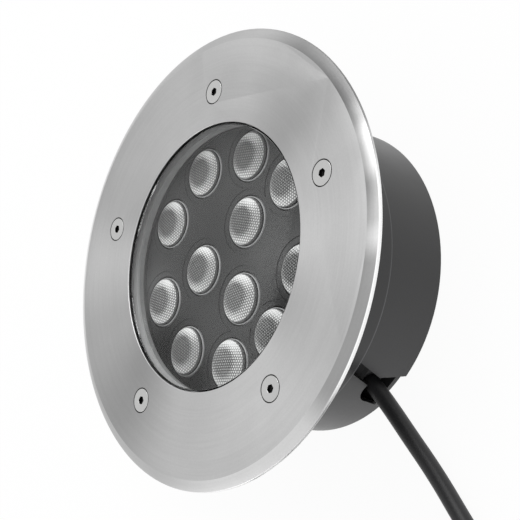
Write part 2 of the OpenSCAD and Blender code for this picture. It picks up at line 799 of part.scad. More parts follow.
module gusset() {
    rotate([90, 0, 0]) translate([0, 0, -gusset_t / 2]) linear_extrude(gusset_t) polygon([
        [collar_r - sleeve_wall / 2, sleeve_flange_under_z - gusset_h],
        [collar_r, sleeve_flange_under_z - gusset_h],
        [flange_r - gusset_inset, sleeve_flange_under_z],
        [flange_r - gusset_inset, sleeve_flange_under_z + sleeve_flange_t / 2],
        [collar_r - sleeve_wall / 2, sleeve_flange_under_z + sleeve_flange_t / 2]]);
}

module mounting_sleeve() {
    color([0.1, 0.1, 0.105]) {
        difference() {
            union() {
                rotate_extrude() polygon([
                    [sleeve_bore_r, 0], [sleeve_r, 0], [sleeve_r, collar_z], [collar_r, collar_z],
                    [collar_r, sleeve_flange_under_z], [flange_r, sleeve_flange_under_z],
                    [flange_r, sleeve_top_z], [sleeve_bore_r, sleeve_top_z]]);
                around(gusset_count, 0, 180 / gusset_count) gusset();
            }
            sleeve_cuts();
        }
        difference() {
            disc(sleeve_bore_r + snug, 0, base_t);
            disc(center_drain_d / 2, -cut, base_t + cut);
            around(drain_count, drain_ring_r, 180 / drain_count) disc(drain_d / 2, -cut, base_t + cut);
        }
    }
}

module flange_seal() {
    color([0.12, 0.12, 0.12]) flat_ring(flange_r - fit, cup_r + fit, sleeve_top_z, flange_under_z);
}

module sleeve_o_ring() {
    color([0.08, 0.08, 0.08]) translate([0, 0, o_ring_z]) rotate_extrude()
        translate([sleeve_bore_r - snug - o_ring_r, 0]) circle(r = o_ring_r, $fn = small_fn);
}

module supply_cord() {
    color([0.07, 0.07, 0.07]) tube(cord_route, cord_r, cord_sides);
}

module cord_coil() {
    color([0.07, 0.07, 0.07]) tube(coil_path, cord_r, coil_sides);
}

module cord_tail() {
    color([0.07, 0.07, 0.07]) tube(tail_route, cord_r, cord_sides);
}

// Band round the four strands of the coil on the side away from the lamp, with its head outwards
module coil_tie() {
    inner_x = coil_radius(5 / 4) - cord_r - tie_gap;
    outer_x = coil_radius(1 / 4) + cord_r + tie_gap;
    top_z = coil_floor + tie_lift + coil_layer + cord_r + tie_gap;
    color([0.9, 0.9, 0.88]) translate([coil_c[0], coil_c[1] - tie_w / 2, 0]) {
        difference() {
            translate([inner_x - tie_t, 0, 0]) cube([outer_x - inner_x + 2 * tie_t, tie_w, top_z + tie_t]);
            translate([inner_x, -cut, tie_t]) cube([outer_x - inner_x, tie_w + 2 * cut, top_z - tie_t]);
        }
        translate([outer_x + tie_t / 2, (tie_w - tie_head[1]) / 2, top_z / 2]) cube(tie_head);
    }
}

module core_brown() {
    color([0.35, 0.17, 0.08]) tube(brown_route, core_r, core_sides);
}

module core_blue() {
    color([0.1, 0.25, 0.65]) tube(blue_route, core_r, core_sides);
}

module core_earth() {
    color([0.35, 0.6, 0.1]) tube(earth_route, core_r, core_sides);
}

module core_tips() {
    color([0.8, 0.45, 0.25]) {
        tube(brown_tip, copper_d / 2, core_sides);
        tube(blue_tip, copper_d / 2, core_sides);
        tube(earth_tip, copper_d / 2, core_sides);
    }
}

face_ring();
face_screws();
glass_gasket_upper();
cover_glass();
glass_gasket_lower();
lamp_housing();
lens_plate();
for (i = [1 : LENSES]) lens(i);
lens_holders();
leds();
led_board();
thermal_pad();
board_screws();
lead_grommet();
led_leads();
driver_board();
driver_transformer();
driver_capacitors();
terminal_block();
driver_screws();
back_cover();
back_cover_gasket();
back_cover_screws();
gland_body();
gland_seal();
gland_nut();
cord_inner();
supply_cores();
mounting_sleeve();
flange_seal();
sleeve_o_ring();
supply_cord();
cord_coil();
cord_tail();
coil_tie();
core_brown();
core_blue();
core_earth();
core_tips();
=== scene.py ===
import math

import bmesh
import bpy
import numpy as np
from mathutils import Matrix, Vector


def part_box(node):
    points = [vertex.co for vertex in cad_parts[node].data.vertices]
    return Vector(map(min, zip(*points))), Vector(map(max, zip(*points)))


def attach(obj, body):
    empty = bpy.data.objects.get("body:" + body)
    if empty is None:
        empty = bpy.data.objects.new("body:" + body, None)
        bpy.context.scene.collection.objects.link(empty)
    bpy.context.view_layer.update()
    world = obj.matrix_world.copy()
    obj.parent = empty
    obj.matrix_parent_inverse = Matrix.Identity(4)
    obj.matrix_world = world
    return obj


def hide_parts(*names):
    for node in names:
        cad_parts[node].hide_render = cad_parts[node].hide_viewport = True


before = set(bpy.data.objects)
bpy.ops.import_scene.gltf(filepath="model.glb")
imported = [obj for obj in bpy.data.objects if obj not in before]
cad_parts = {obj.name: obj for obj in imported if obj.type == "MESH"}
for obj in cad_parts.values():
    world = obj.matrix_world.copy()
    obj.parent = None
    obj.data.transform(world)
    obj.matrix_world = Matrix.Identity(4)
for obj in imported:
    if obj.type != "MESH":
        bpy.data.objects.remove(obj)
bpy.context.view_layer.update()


# Camera, pale floor and soft lamps
# The photograph's own viewpoint in the lamp's frame. The lamp lies on its back here, so the camera rolls.
# The floor and the sky are white to the eye and through glass, grey to what mirrors them, and the floor
# keeps the soft shadow.
camera_place = Vector((0.3020, 0.2253, 0.3479))
camera_look = Vector((-0.6217, -0.4576, -0.6357))
camera_up = Vector((-0.6856, 0.7103, 0.1592))
camera_lens = 84.6
floor_half = 3.0
floor_white_share = 0.94
paper_grey = 0.9
sky_share = 0.72
sky_gloss_share = 0.7
lamp_middle = Vector((0.0, 0.0, 0.05))
# place, width and power
soft_lamps = {"key_light": ((-0.55, 0.75, 1.05), 1.0, 9.0), "fill_light": ((1.1, 0.1, 0.7), 0.9, 2.0),
              "low_light": ((0.35, -1.1, 0.45), 0.6, 1.5)}

camera = bpy.data.objects.new("camera", bpy.data.cameras.new("camera"))
right = camera_look.cross(camera_up).normalized()
up = right.cross(camera_look).normalized()
camera.matrix_world = Matrix.Translation(camera_place) @ Matrix(
    (right, up, -camera_look.normalized())).transposed().to_4x4()
camera.data.lens = camera_lens
camera.data.sensor_width = 36.0
camera.data.clip_start, camera.data.clip_end = 0.01, 50.0
bpy.context.scene.collection.objects.link(camera)
bpy.context.scene.camera = camera
bpy.context.scene.view_settings.view_transform = "Standard"


def feed(tree, node, inputs):
    """Gives a node's inputs, by name or number, plain values or sockets."""
    for key, value in inputs.items():
        if isinstance(value, bpy.types.NodeSocket):
            tree.links.new(value, node.inputs[key])
        else:
            node.inputs[key].default_value = value


def add(tree, kind, inputs=None, **settings):
    """Adds one shader node with its settings and its inputs."""
    made = tree.nodes.new(kind)
    for key, value in settings.items():
        setattr(made, key, value)
    feed(tree, made, inputs or {})
    return made


def maths(tree, operation, *terms):
    """One Math node on numbers and sockets, given in their order."""
    return add(tree, "ShaderNodeMath", dict(enumerate(terms)), operation=operation).outputs[0]


def times(tree, first, *others):
    """Product of numbers and sockets."""
    for other in others:
        first = maths(tree, "MULTIPLY", first, other)
    return first


def times_plus(tree, value, share, start):
    """A value times a share, plus a start."""
    return maths(tree, "MULTIPLY_ADD", value, share, start)


def blank(name):
    """New material with its node tree and its shader."""
    material = bpy.data.materials.new(name)
    material.use_nodes = True
    return material, material.node_tree, material.node_tree.nodes["Principled BSDF"]


def mix_shaders(tree, share, first, second):
    """The material shows the first shader where the share is 0 and the second where it is 1."""
    mixed = add(tree, "ShaderNodeMixShader", {0: share, 1: first.outputs[0], 2: second.outputs[0]})
    feed(tree, tree.nodes["Material Output"], {"Surface": mixed.outputs[0]})


def seen_directly(tree):
    """1 for rays from the camera, from gloss and through glass, and 0 for all others."""
    rays = add(tree, "ShaderNodeLightPath").outputs
    shiny = maths(tree, "MAXIMUM", rays["Is Glossy Ray"], rays["Is Transmission Ray"])
    return maths(tree, "MAXIMUM", rays["Is Camera Ray"], shiny)


def make_piece(name, points, *face_sets):
    """Smooth mesh object from points and arrays of faces, the corners of one face to a row."""
    corners = np.concatenate([faces.ravel() for faces in face_sets]).astype(np.int32)
    sizes = np.concatenate([np.full(len(faces), faces.shape[1]) for faces in face_sets])
    mesh = bpy.data.meshes.new(name)
    mesh.vertices.add(len(points))
    mesh.vertices.foreach_set("co", np.asarray(points, np.float32).ravel())
    mesh.loops.add(len(corners))
    mesh.loops.foreach_set("vertex_index", corners)
    mesh.polygons.add(len(sizes))
    mesh.polygons.foreach_set("loop_start", (np.cumsum(sizes) - sizes).astype(np.int32))
    mesh.update(calc_edges=True)
    mesh.shade_smooth()
    piece = bpy.data.objects.new(name, mesh)
    bpy.context.scene.collection.objects.link(piece)
    return piece


world = bpy.data.worlds.new("studio")
world.use_nodes = True
bpy.context.scene.world = world
tree = world.node_tree
sky_strength = times_plus(tree, seen_directly(tree), 1 - sky_share, sky_share)
rays = add(tree, "ShaderNodeLightPath").outputs
sky_strength = times_plus(tree, rays["Is Glossy Ray"], sky_gloss_share - 1, sky_strength)
feed(tree, tree.nodes["Background"], {"Color": (1, 1, 1, 1), "Strength": sky_strength})

floor_corners = floor_half * np.array([[-1, -1, 0], [1, -1, 0], [1, 1, 0], [-1, 1, 0]])
floor = make_piece("floor", floor_corners, np.array([[0, 1, 2, 3]]))
paper, tree, shader = blank("floor_paper")
feed(tree, shader, {"Base Color": (paper_grey, paper_grey, paper_grey, 1), "Roughness": 0.9})
whiter = times(tree, seen_directly(tree), floor_white_share)
mix_shaders(tree, whiter, shader, add(tree, "ShaderNodeEmission"))
floor.data.materials.append(paper)

for name, (place, width, power) in soft_lamps.items():
    light = bpy.data.lights.new(name, "AREA")
    light.shape = "SQUARE"
    light.size = width
    light.energy = power
    box = bpy.data.objects.new(name, light)
    box.location = place
    box.rotation_euler = (lamp_middle - Vector(place)).to_track_quat("-Z", "Y").to_euler()
    bpy.context.scene.collection.objects.link(box)


# Finishes that several pieces share
# Moulded, painted, cast and drawn surfaces carry one fine grain, a node group that is placed in each material
# with its own scale and spread. The turned steel's marks are a second group, made with the face ring.
cloud_scale, cloud_share, cloud_gloss = 45.0, 1.4, 0.16


def effect_group(name, inputs, outputs):
    """Empty node group with float inputs (name: value), a Vector input and float outputs."""
    group = bpy.data.node_groups.new(name, "ShaderNodeTree")
    group.interface.new_socket("Vector", in_out="INPUT", socket_type="NodeSocketVector")
    for key, value in inputs.items():
        socket = group.interface.new_socket(key, in_out="INPUT", socket_type="NodeSocketFloat")
        socket.default_value = value
    for key in outputs:
        group.interface.new_socket(key, in_out="OUTPUT", socket_type="NodeSocketFloat")
    return group, group.nodes.new("NodeGroupInput").outputs, group.nodes.new("NodeGroupOutput")


def place_on(tree, kind="Object"):
    """Place on the piece: Object in metres of its own frame, UV on its map."""
    return add(tree, "ShaderNodeTexCoord").outputs[kind]


def split(tree, place):
    """X, Y and Z of a place."""
    return add(tree, "ShaderNodeSeparateXYZ", {0: place}).outputs


def noise(tree, vector, scale, detail, roughness):
    """Noise from 0 to 1 at so many grains to the metre, a number or a socket."""
    return add(tree, "ShaderNodeTexNoise", {"Vector": vector, "Scale": scale, "Detail": detail,
                                            "Roughness": roughness}).outputs["Fac"]


def around_one(tree, value, spread):
    """Factor round 1, as wide as the spread, from a value between 0 and 1."""
    return times_plus(tree, value, spread, 1 - spread / 2)


def scaled(tree, colour, share):
    """A colour times a value that changes over the piece."""
    return add(tree, "ShaderNodeVectorMath", {0: colour, "Scale": share}, operation="SCALE").outputs[0]


def blend_colours(tree, share, first, second):
    """The first colour where the share is 0, and the second where it is 1."""
    return add(tree, "ShaderNodeMix", {0: share, 6: first, 7: second}, data_type="RGBA").outputs[2]


def raised(tree, height, depth):
    """Normal of a relief so deep, whose height runs from 0 to 1."""
    return add(tree, "ShaderNodeBump", {"Distance": depth, "Height": height}).outputs[0]


# Tone is a factor round 1, Rough an amount to add, Height runs from 0 to 1
grain_group, given, result = effect_group(
    "moulded_grain", {"Grains per Metre": 2500.0, "Spread": 0.2}, ("Tone", "Rough", "Height"))
tree = grain_group
fine = noise(tree, given["Vector"], given["Grains per Metre"], 2.0, 0.55)
cloud = noise(tree, given["Vector"], cloud_scale, 3.0, 0.6)
shade = times_plus(tree, cloud, cloud_share, fine)
shade = maths(tree, "SUBTRACT", shade, (cloud_share + 1) / 2)
feed(tree, result, {
    "Tone": times_plus(tree, shade, given["Spread"], 1.0),
    "Rough": times_plus(tree, cloud, cloud_gloss, -cloud_gloss / 2),
    "Height": fine})


def grained(tree, grains, spread):
    """Outputs of the moulded grain, placed with its own scale and spread."""
    return add(tree, "ShaderNodeGroup", {"Vector": place_on(tree), "Grains per Metre": grains,
                                         "Spread": spread}, node_tree=grain_group).outputs


def finish(name, colour, roughness, metallic=0.0, grains=2500.0, spread=0.2, depth=0.00004):
    """Procedural finish: one colour with the moulded grain in its tone, its gloss and its relief."""
    material, tree, shader = blank(name)
    grain = grained(tree, grains, spread)
    feed(tree, shader, {
        "Base Color": scaled(tree, colour, grain["Tone"]), "Metallic": metallic,
        "Roughness": maths(tree, "ADD", grain["Rough"], roughness),
        "Normal": raised(tree, grain["Height"], depth)})
    return material


def painted(material):
    """A finish's tree, its shader and the socket that gives its colour so far."""
    tree = material.node_tree
    shader = tree.nodes["Principled BSDF"]
    return tree, shader, shader.inputs["Base Color"].links[0].from_socket


def wear(node, material):
    """Gives a CAD node that keeps its own shape its finish."""
    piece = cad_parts[node]
    piece.data.materials.clear()
    piece.data.materials.append(material)


def stand_for(piece, material, slot, *nodes):
    """A new piece takes its finish, rides with the lamp and stands for its CAD nodes."""
    piece.data.materials.append(material)
    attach(piece, "root")
    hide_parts(*nodes)
    return piece


flat_angle = math.radians(0.6)
sharp_angle = math.radians(28)


def loop_points(mesh):
    """Number of the point at each corner of a mesh's faces."""
    corners = np.zeros(len(mesh.loops), np.int64)
    mesh.loops.foreach_get("vertex_index", corners)
    return corners


def point_places(mesh):
    """Coordinates of a mesh's points, one point to a row."""
    places = np.zeros(len(mesh.vertices) * 3)
    mesh.vertices.foreach_get("co", places)
    return places.reshape(-1, 3)


def give_map(piece, name, uv):
    """UV map from one place for each corner of a piece's faces."""
    piece.data.uv_layers.new(name=name).data.foreach_set("uv", uv.astype(np.float32).ravel())


def dressed(node, name, edge, material, slot, steps=2):
    """Copy of a CAD node's mesh: corners merged, flat facets joined, sharp edges rounded by a bevel."""
    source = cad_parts[node].data
    keys, merged = np.unique(point_places(source).round(7), axis=0, return_inverse=True)
    faces = merged.ravel()[loop_points(source)].reshape(-1, 3)
    whole = (faces != np.roll(faces, 1, axis=1)).all(axis=1)
    piece = make_piece(name, keys, faces[whole])
    edit = bmesh.new()
    edit.from_mesh(piece.data)
    bmesh.ops.dissolve_limit(edit, angle_limit=flat_angle, verts=edit.verts, edges=edit.edges)
    edit.to_mesh(piece.data)
    edit.free()
    piece.data.shade_smooth()
    piece.data.set_sharp_from_angle(angle=sharp_angle)
    bevel = piece.modifiers.new("rounded_edges", "BEVEL")
    bevel.width = edge
    bevel.segments = steps
    bevel.limit_method = "ANGLE"
    bevel.angle_limit = sharp_angle
    bevel.harden_normals = True
    bevel.use_clamp_overlap = True
    return stand_for(piece, material, slot, node)


# Supply cord
# Three-core rubber lead, 6.8 mm thick and a metre long, sold bare-ended for a junction box.
# It leaves the gland under the lamp, runs out through the notch and is put away as a tied coil.
cord_r = 0.0034
cord_sides = 28
cord_rough = 0.42
cord_black = (0.012, 0.012, 0.013)
cut_rim_share, cut_inset_share = 0.9, 0.05
streak_across, streak_along, streak_spread, streak_height = 60.0, 90.0, 0.6, 0.7
route_out = np.array([
    [57, 0, 9.2], [59, 0, 9.2], [63, 0, 8.5], [67, 0, 7.7], [72, 0, 7], [78, 0, 6.3], [84, 0, 5.7],
    [90, 0, 5], [96, 0, 4.3], [102, 0, 3.8], [109, 0, 3.5], [118, 0, 3.5], [133, 0, 3.5],
    [148, 0, 3.5]]) / 1000
route_tail = np.array([
    [148, -90, 10.8], [146, -90, 10.8], [141, -90.2, 9.9], [135, -90.8, 7.8], [128, -91.6, 5.2],
    [121, -92.6, 3.9], [114, -93.8, 3.5], [106, -95.4, 3.5]]) / 1000
coil_middle = (0.155, -0.045)
coil_start_r = 0.045
coil_turns = 3.5
coil_pitch = 0.0074
coil_layer = 0.0073
coil_floor = 0.0035
coil_climb = 0.5
coil_rings = 72
tie_lift = 0.0012
tie_spread = 22


def coil_line():
    """Turns that spiral in on the floor and out again on top: the radius falls by one pitch a turn to
    the middle of the coil, the height climbs one layer there, and both pass over the tie in a low hump."""
    turn = np.linspace(0, coil_turns, round(coil_turns * coil_rings) + 1)
    radius = coil_start_r - coil_pitch * np.minimum(turn, coil_turns - turn)
    angle = 90 - 360 * turn
    climb = np.clip((turn - (coil_turns - coil_climb) / 2) / coil_climb, 0, 1)
    rise = coil_layer * climb ** 2 * (3 - 2 * climb)
    from_tie = (angle + 180) % 360 - 180
    lift = tie_lift * np.exp(-(from_tie / tie_spread) ** 2)
    turned = np.radians(angle)
    return np.stack([coil_middle[0] + radius * np.cos(turned), coil_middle[1] + radius * np.sin(turned),
                     coil_floor + rise + lift], axis=1)


def run_along(points):
    """Length run from the first point of a line to each of its points."""
    return np.concatenate([[0], np.cumsum(np.linalg.norm(np.diff(points, axis=0), axis=1))])


def smooth_route(points, step=0.0015):
    """Line through given points: on each stretch the cubic whose slopes at its two ends are the
    slopes of the route there, taken against the length run so far."""
    run = run_along(points)
    slope = np.gradient(points, run, axis=0)
    at = np.linspace(0, run[-1], round(run[-1] / step) + 1)
    k = np.clip(np.searchsorted(run, at, side="right") - 1, 0, len(run) - 2)
    h = (run[k + 1] - run[k])[:, None]
    t = (at - run[k])[:, None] / h
    return ((2 * t ** 3 - 3 * t ** 2 + 1) * points[k] + (t ** 3 - 2 * t ** 2 + t) * h * slope[k]
            + (3 * t ** 2 - 2 * t ** 3) * points[k + 1] + (t ** 3 - t ** 2) * h * slope[k + 1])


def grid_faces(rows, cols, first=0):
    """Four-cornered faces of a grid of points stored row by row, the last column joined to the first."""
    row, col = np.meshgrid(np.arange(rows - 1), np.arange(cols), indexing="ij")
    here, beside = first + row * cols + col, first + row * cols + (col + 1) % cols
    return np.stack([here, beside, beside + cols, here + cols], axis=-1).reshape(-1, 4)


def fan_faces(ring, tip, turned=False):
    """Triangles from a ring of points to one tip."""
    following = np.roll(ring, -1)
    pair = (following, ring) if turned else (ring, following)
    return np.stack([pair[0], pair[1], np.full(len(ring), tip)], axis=1)


def unit(rows):
    """Each row brought to the length 1."""
    return rows / np.linalg.norm(rows, axis=-1, keepdims=True)


def tube_rings(path, radius, sides):
    """Rings of points square to a path: at each point the side is level and the other axis square to it."""
    along = unit(np.gradient(path, axis=0))
    side = unit(np.cross(along, [0.0, 0.0, 1.0]))
    top = np.cross(side, along)
    angle = np.linspace(0, 2 * np.pi, sides, endpoint=False)[None, :, None]
    return path[:, None] + radius * (np.cos(angle) * side[:, None] + np.sin(angle) * top[:, None])


def tube(name, path, radius, sides):
    """Closed round tube along a path, with a flat cut end whose rim is slightly rounded."""
    rings = tube_rings(path, radius, sides)
    ends = [path[end] + cut_rim_share * (rings[end] - path[end]) for end in (0, -1)]
    inset = cut_inset_share * radius
    rings[0] += inset * unit(path[1] - path[0])
    rings[-1] -= inset * unit(path[-1] - path[-2])
    points = np.concatenate([ends[0][None], rings, ends[1][None]]).reshape(-1, 3)
    points = np.concatenate([points, path[:1], path[-1:]])
    rows = len(path) + 2
    start, last = np.arange(sides), (rows - 1) * sides + np.arange(sides)
    return make_piece(name, points, grid_faces(rows, sides),
                      fan_faces(start, rows * sides, turned=True), fan_faces(last, rows * sides + 1))


def tube_map(piece, path, sides):
    """UV map of a tube: one turn round it is 1 across, and 1 along it is a metre of its length."""
    run = run_along(path)
    run = np.concatenate([run[:1], run, run[-1:]])
    rows = len(run)
    across = np.tile(np.arange(sides) / sides, rows)
    length = np.repeat(run, sides)
    corners = loop_points(piece.data)
    across = np.concatenate([across, [0.5, 0.5]])[corners]
    length = np.concatenate([length, [0.0, run[-1]]])[corners]
    faces = (rows - 1) * sides
    seam = across[:faces * 4].reshape(-1, 4)
    seam[(seam.max(axis=1) > 0.9)[:, None] & (seam < 0.1)] += 1.0
    across[:faces * 4] = seam.ravel()
    give_map(piece, "cord_map", np.stack([across, length], axis=1))


lead_path = np.concatenate([smooth_route(route_out)[:-1], coil_line(), smooth_route(route_tail)])
lead = tube("supply_lead", lead_path, cord_r, cord_sides)
tube_map(lead, lead_path, cord_sides)

rubber, tree, shader = blank("cord_rubber")
drawn = add(tree, "ShaderNodeMapping",
            {"Vector": place_on(tree, "UV"), "Scale": (streak_across, streak_along, 1.0)})
streak = noise(tree, drawn.outputs[0], 1.0, 3.0, 0.6)
grain = grained(tree, 3000.0, 0.25)
tone = times(tree, grain["Tone"], around_one(tree, streak, streak_spread))
height = times_plus(tree, streak, streak_height, grain["Height"])
feed(tree, shader, {
    "Base Color": scaled(tree, cord_black, tone),
    "Roughness": maths(tree, "ADD", grain["Rough"], cord_rough),
    "Normal": raised(tree, height, 0.00003)})
stand_for(lead, rubber, "cord_rubber", "supply_cord", "cord_coil", "cord_tail")


# Cord end
# The sheath is cut back at the end of the tail: three insulated cores fan out on the floor,
# each stripped to a few millimetres of twisted copper strands for a terminal.
core_r = 0.00115
core_sides = 16
copper_r = 0.00065
wire_sides = 8
# shares of copper_r: a wire's own radius, and the circle that the outer wires wind on
wire_share, winding_share = 1 / 3, 0.62
core_routes = {
    "brown": np.array([[105.8, -94.2, 4.2], [103.8, -94.6, 4.2], [97, -94.8, 2.6], [88, -93, 1.4],
                       [76, -90, 1.3]]) / 1000,
    "blue": np.array([[106, -95.4, 2], [104, -95.8, 2], [97, -97.6, 1.4], [87, -99.2, 1.3],
                      [75, -100.6, 1.3]]) / 1000,
    "earth": np.array([[106.2, -96.6, 4.2], [104.2, -97, 4.2], [98, -99.8, 2.6], [89, -104.6, 1.4],
                       [79, -110.6, 1.3]]) / 1000}
core_tips = {
    "brown": np.array([[76, -90, 1.3], [69, -88.2, 1.3]]) / 1000,
    "blue": np.array([[75, -100.6, 1.3], [67.6, -101.5, 1.3]]) / 1000,
    "earth": np.array([[79, -110.6, 1.3], [73, -114.2, 1.3]]) / 1000}
core_colours = {"brown": (0.09, 0.03, 0.012), "blue": (0.012, 0.05, 0.24), "earth": (0.05, 0.2, 0.012)}
earth_stripe = (0.75, 0.62, 0.03)
stripe_half_share = 0.17
strand_turns = 1.2
strand_steps = 14


def striped(material, colour, half):
    """Adds a straight stripe of another colour along a core, its half width a share of the girth."""
    tree, shader, plain = painted(material)
    across = split(tree, place_on(tree, "UV"))["X"]
    apart = maths(tree, "ABSOLUTE", maths(tree, "SUBTRACT", across, 0.5))
    mask = maths(tree, "LESS_THAN", apart, half)
    feed(tree, shader, {"Base Color": blend_colours(tree, mask, plain, (*colour, 1))})


for colour, route in core_routes.items():
    path = smooth_route(route, 0.001)
    core = tube(f"core_sheath_{colour}", path, core_r, core_sides)
    tube_map(core, path, core_sides)
    insulation = finish(f"insulation_{colour}", core_colours[colour], 0.32, spread=0.15)
    if colour == "earth":
        striped(insulation, earth_stripe, stripe_half_share)
    stand_for(core, insulation, f"core_insulation_{colour}", f"core_{colour}")


def strand_bundle(name, runs):
    """Seven thin wires to each run: one on its line and six wound round it in a slow helix."""
    points, faces, first = [], [], 0
    for run in runs:
        path = run[0] + np.linspace(0, 1, strand_steps)[:, None] * (run[1] - run[0])
        for k in range(7):
            angle = 2 * np.pi * (k / 6 + strand_turns * np.linspace(0, 1, strand_steps))
            away = tube_rings(path, winding_share * copper_r, 360)
            spot = np.degrees(angle).astype(int) % 360
            line = path if k == 6 else away[np.arange(strand_steps), spot]
            rings = tube_rings(line, wire_share * copper_r, wire_sides)
            count = strand_steps * wire_sides
            points += [rings.reshape(-1, 3), line[:1], line[-1:]]
            sides = np.arange(wire_sides)
            faces.append((grid_faces(strand_steps, wire_sides, first),
                          fan_faces(first + sides, first + count, turned=True),
                          fan_faces(first + count - wire_sides + sides, first + count + 1)))
            first += count + 2
    return make_piece(name, np.concatenate(points), *[np.concatenate(s) for s in zip(*faces)])


copper = finish("drawn_copper", (0.72, 0.33, 0.17), 0.28, metallic=1.0, grains=5000.0, depth=0.00001)
strands = strand_bundle("copper_strands", core_tips.values())
stand_for(strands, copper, "bare_copper", "core_tips")


# Cord tie
# Nylon band drawn tight round the wound turns, with its ratchet head on the outer side.
tie_low, tie_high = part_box("coil_tie")
tie_t = 0.001
tie_head_x = 0.003
tie_head_half = 0.0025
tie_w = 0.0036


def band_loop(middle, half_x, half_z, thickness, width, sharpness=5.0, steps=96):
    """Closed flat band: a rounded rectangle |x/a|^n + |z/b|^n = 1 as its line, and a flat section with
    softened corners carried round it."""
    angle = np.linspace(0, 2 * np.pi, steps, endpoint=False)
    c, s = np.cos(angle), np.sin(angle)
    reach = (np.abs(c) ** sharpness + np.abs(s) ** sharpness) ** (-1 / sharpness)
    section = np.array([[0, -0.42], [0, 0.42], [0.12, 0.5], [0.88, 0.5], [1, 0.42], [1, -0.42],
                        [0.88, -0.5], [0.12, -0.5]])
    x = (half_x - thickness * (1 - section[None, :, 0])) * (reach * c)[:, None]
    z = (half_z - thickness * (1 - section[None, :, 0])) * (reach * s)[:, None]
    y = np.broadcast_to(section[None, :, 1] * width, x.shape)
    return np.stack([middle[0] + x, middle[1] + y, middle[2] + z], axis=-1).reshape(-1, 3)


def soft_block(middle, half, sharpness=6.0, steps=24):
    """Block with rounded edges: the surface |x/a|^n + |y/b|^n + |z/c|^n = 1 on a grid of two angles."""
    around, over = np.meshgrid(np.linspace(0, 2 * np.pi, 2 * steps, endpoint=False),
                               np.linspace(-np.pi / 2, np.pi / 2, steps + 2)[1:-1], indexing="xy")
    way = np.stack([np.cos(over) * np.cos(around), np.cos(over) * np.sin(around), np.sin(over)], axis=-1)
    reach = (np.abs(way) ** sharpness).sum(axis=-1, keepdims=True) ** (-1 / sharpness)
    points = (np.array(middle) + np.array(half) * way * reach).reshape(-1, 3)
    poles = np.array([middle, middle]) + np.array([[0, 0, -half[2]], [0, 0, half[2]]])
    ring = np.arange(2 * steps)
    return (np.concatenate([points, poles]), grid_faces(steps, 2 * steps),
            np.concatenate([fan_faces(ring, steps * 2 * steps, turned=True),
                            fan_faces((steps - 1) * 2 * steps + ring, steps * 2 * steps + 1)]))


band_high_x = tie_high.x - tie_head_x + tie_t / 2
band_middle = ((tie_low.x + band_high_x) / 2, (tie_low.y + tie_high.y) / 2, (tie_low.z + tie_high.z) / 2)
band = band_loop(band_middle, (band_high_x - tie_low.x) / 2, (tie_high.z - tie_low.z) / 2, tie_t, tie_w)
band_rows = len(band) // 8
band_faces = grid_faces(band_rows + 1, 8) % len(band)
head, head_sides, head_poles = soft_block((tie_high.x - tie_head_x / 2, band_middle[1], band_middle[2]),
                                          (tie_head_x / 2, tie_head_half, tie_head_half))
tie = make_piece("nylon_tie", np.concatenate([band, head]), band_faces[:, ::-1],
                 head_sides + len(band), head_poles + len(band))
stand_for(tie, finish("tie_nylon", (0.035, 0.035, 0.037), 0.4), "tie_plastic", "coil_tie")


# Lamp housing and back cover
# Aluminium casting, a flanged cup with the well for the lenses in front and the driver's bay behind, and a
# flat cover with the gland block that closes the bay on a gasket. Both are powder-coated black outside; the
# well is turned bare and its wall shows grey through the glass.
well_r = 0.0524
well_floor_z = 0.0335
cast_coat = finish("cast_coat", (0.012, 0.012, 0.0125), 0.5, grains=1800.0, spread=0.12)
cast_coat.node_tree.nodes["Principled BSDF"].inputs["Specular IOR Level"].default_value = 0.2
bare_colour = (0.3, 0.3, 0.302)
bare_grains = 140.0
cast_edge_r = 0.0003


def spot_on(tree):
    """X, Y and Z of the place on the piece."""
    return split(tree, place_on(tree))


def reach_of(tree, x, y):
    """Distance from the middle: the root of x squared plus y squared."""
    squares = times_plus(tree, x, x, times(tree, y, y))
    return maths(tree, "SQRT", squares)


def inside_cup(tree, radius, height):
    """1 nearer to the axis than a radius and over a height, and 0 elsewhere."""
    spot = spot_on(tree)
    near = maths(tree, "LESS_THAN", reach_of(tree, spot["X"], spot["Y"]), radius)
    return times(tree, near, maths(tree, "GREATER_THAN", spot["Z"], height))


def bared(material, radius, height, colour):
    """Bare metal of another colour inside a radius and over a height of the piece's own frame."""
    tree, shader, coat = painted(material)
    cloud = noise(tree, place_on(tree), bare_grains, 3.0, 0.6)
    bare = scaled(tree, colour, around_one(tree, cloud, 0.5))
    feed(tree, shader, {"Base Color": blend_colours(tree, inside_cup(tree, radius, height), coat, bare)})


bared(cast_coat, well_r, well_floor_z, bare_colour)
dressed("lamp_housing", "housing_casting", cast_edge_r, cast_coat, "cast_housing")
dressed("back_cover", "rear_cover", cast_edge_r, cast_coat, "cast_housing")


# Emitter board, thermal pad and leads
# White-coated aluminium board on a soft pad, held by three screws; twelve ceramic packages with yellow
# phosphor domes sit on it, and two leads come up to it through a grommet.
board_white = finish("board_white", (0.72, 0.72, 0.69), 0.5, spread=0.05)
wear("led_board", board_white)
wear("thermal_pad", finish("thermal_silicone", (0.16, 0.22, 0.3), 0.7, spread=0.1))
wear("leds", finish("phosphor", (0.8, 0.62, 0.12), 0.35, spread=0.06))
rubber_seal = finish("seal_rubber", (0.018, 0.018, 0.019), 0.55, spread=0.15)
wear("lead_grommet", rubber_seal)
wear("led_leads", finish("lead_insulation", (0.42, 0.02, 0.02), 0.35, spread=0.1))


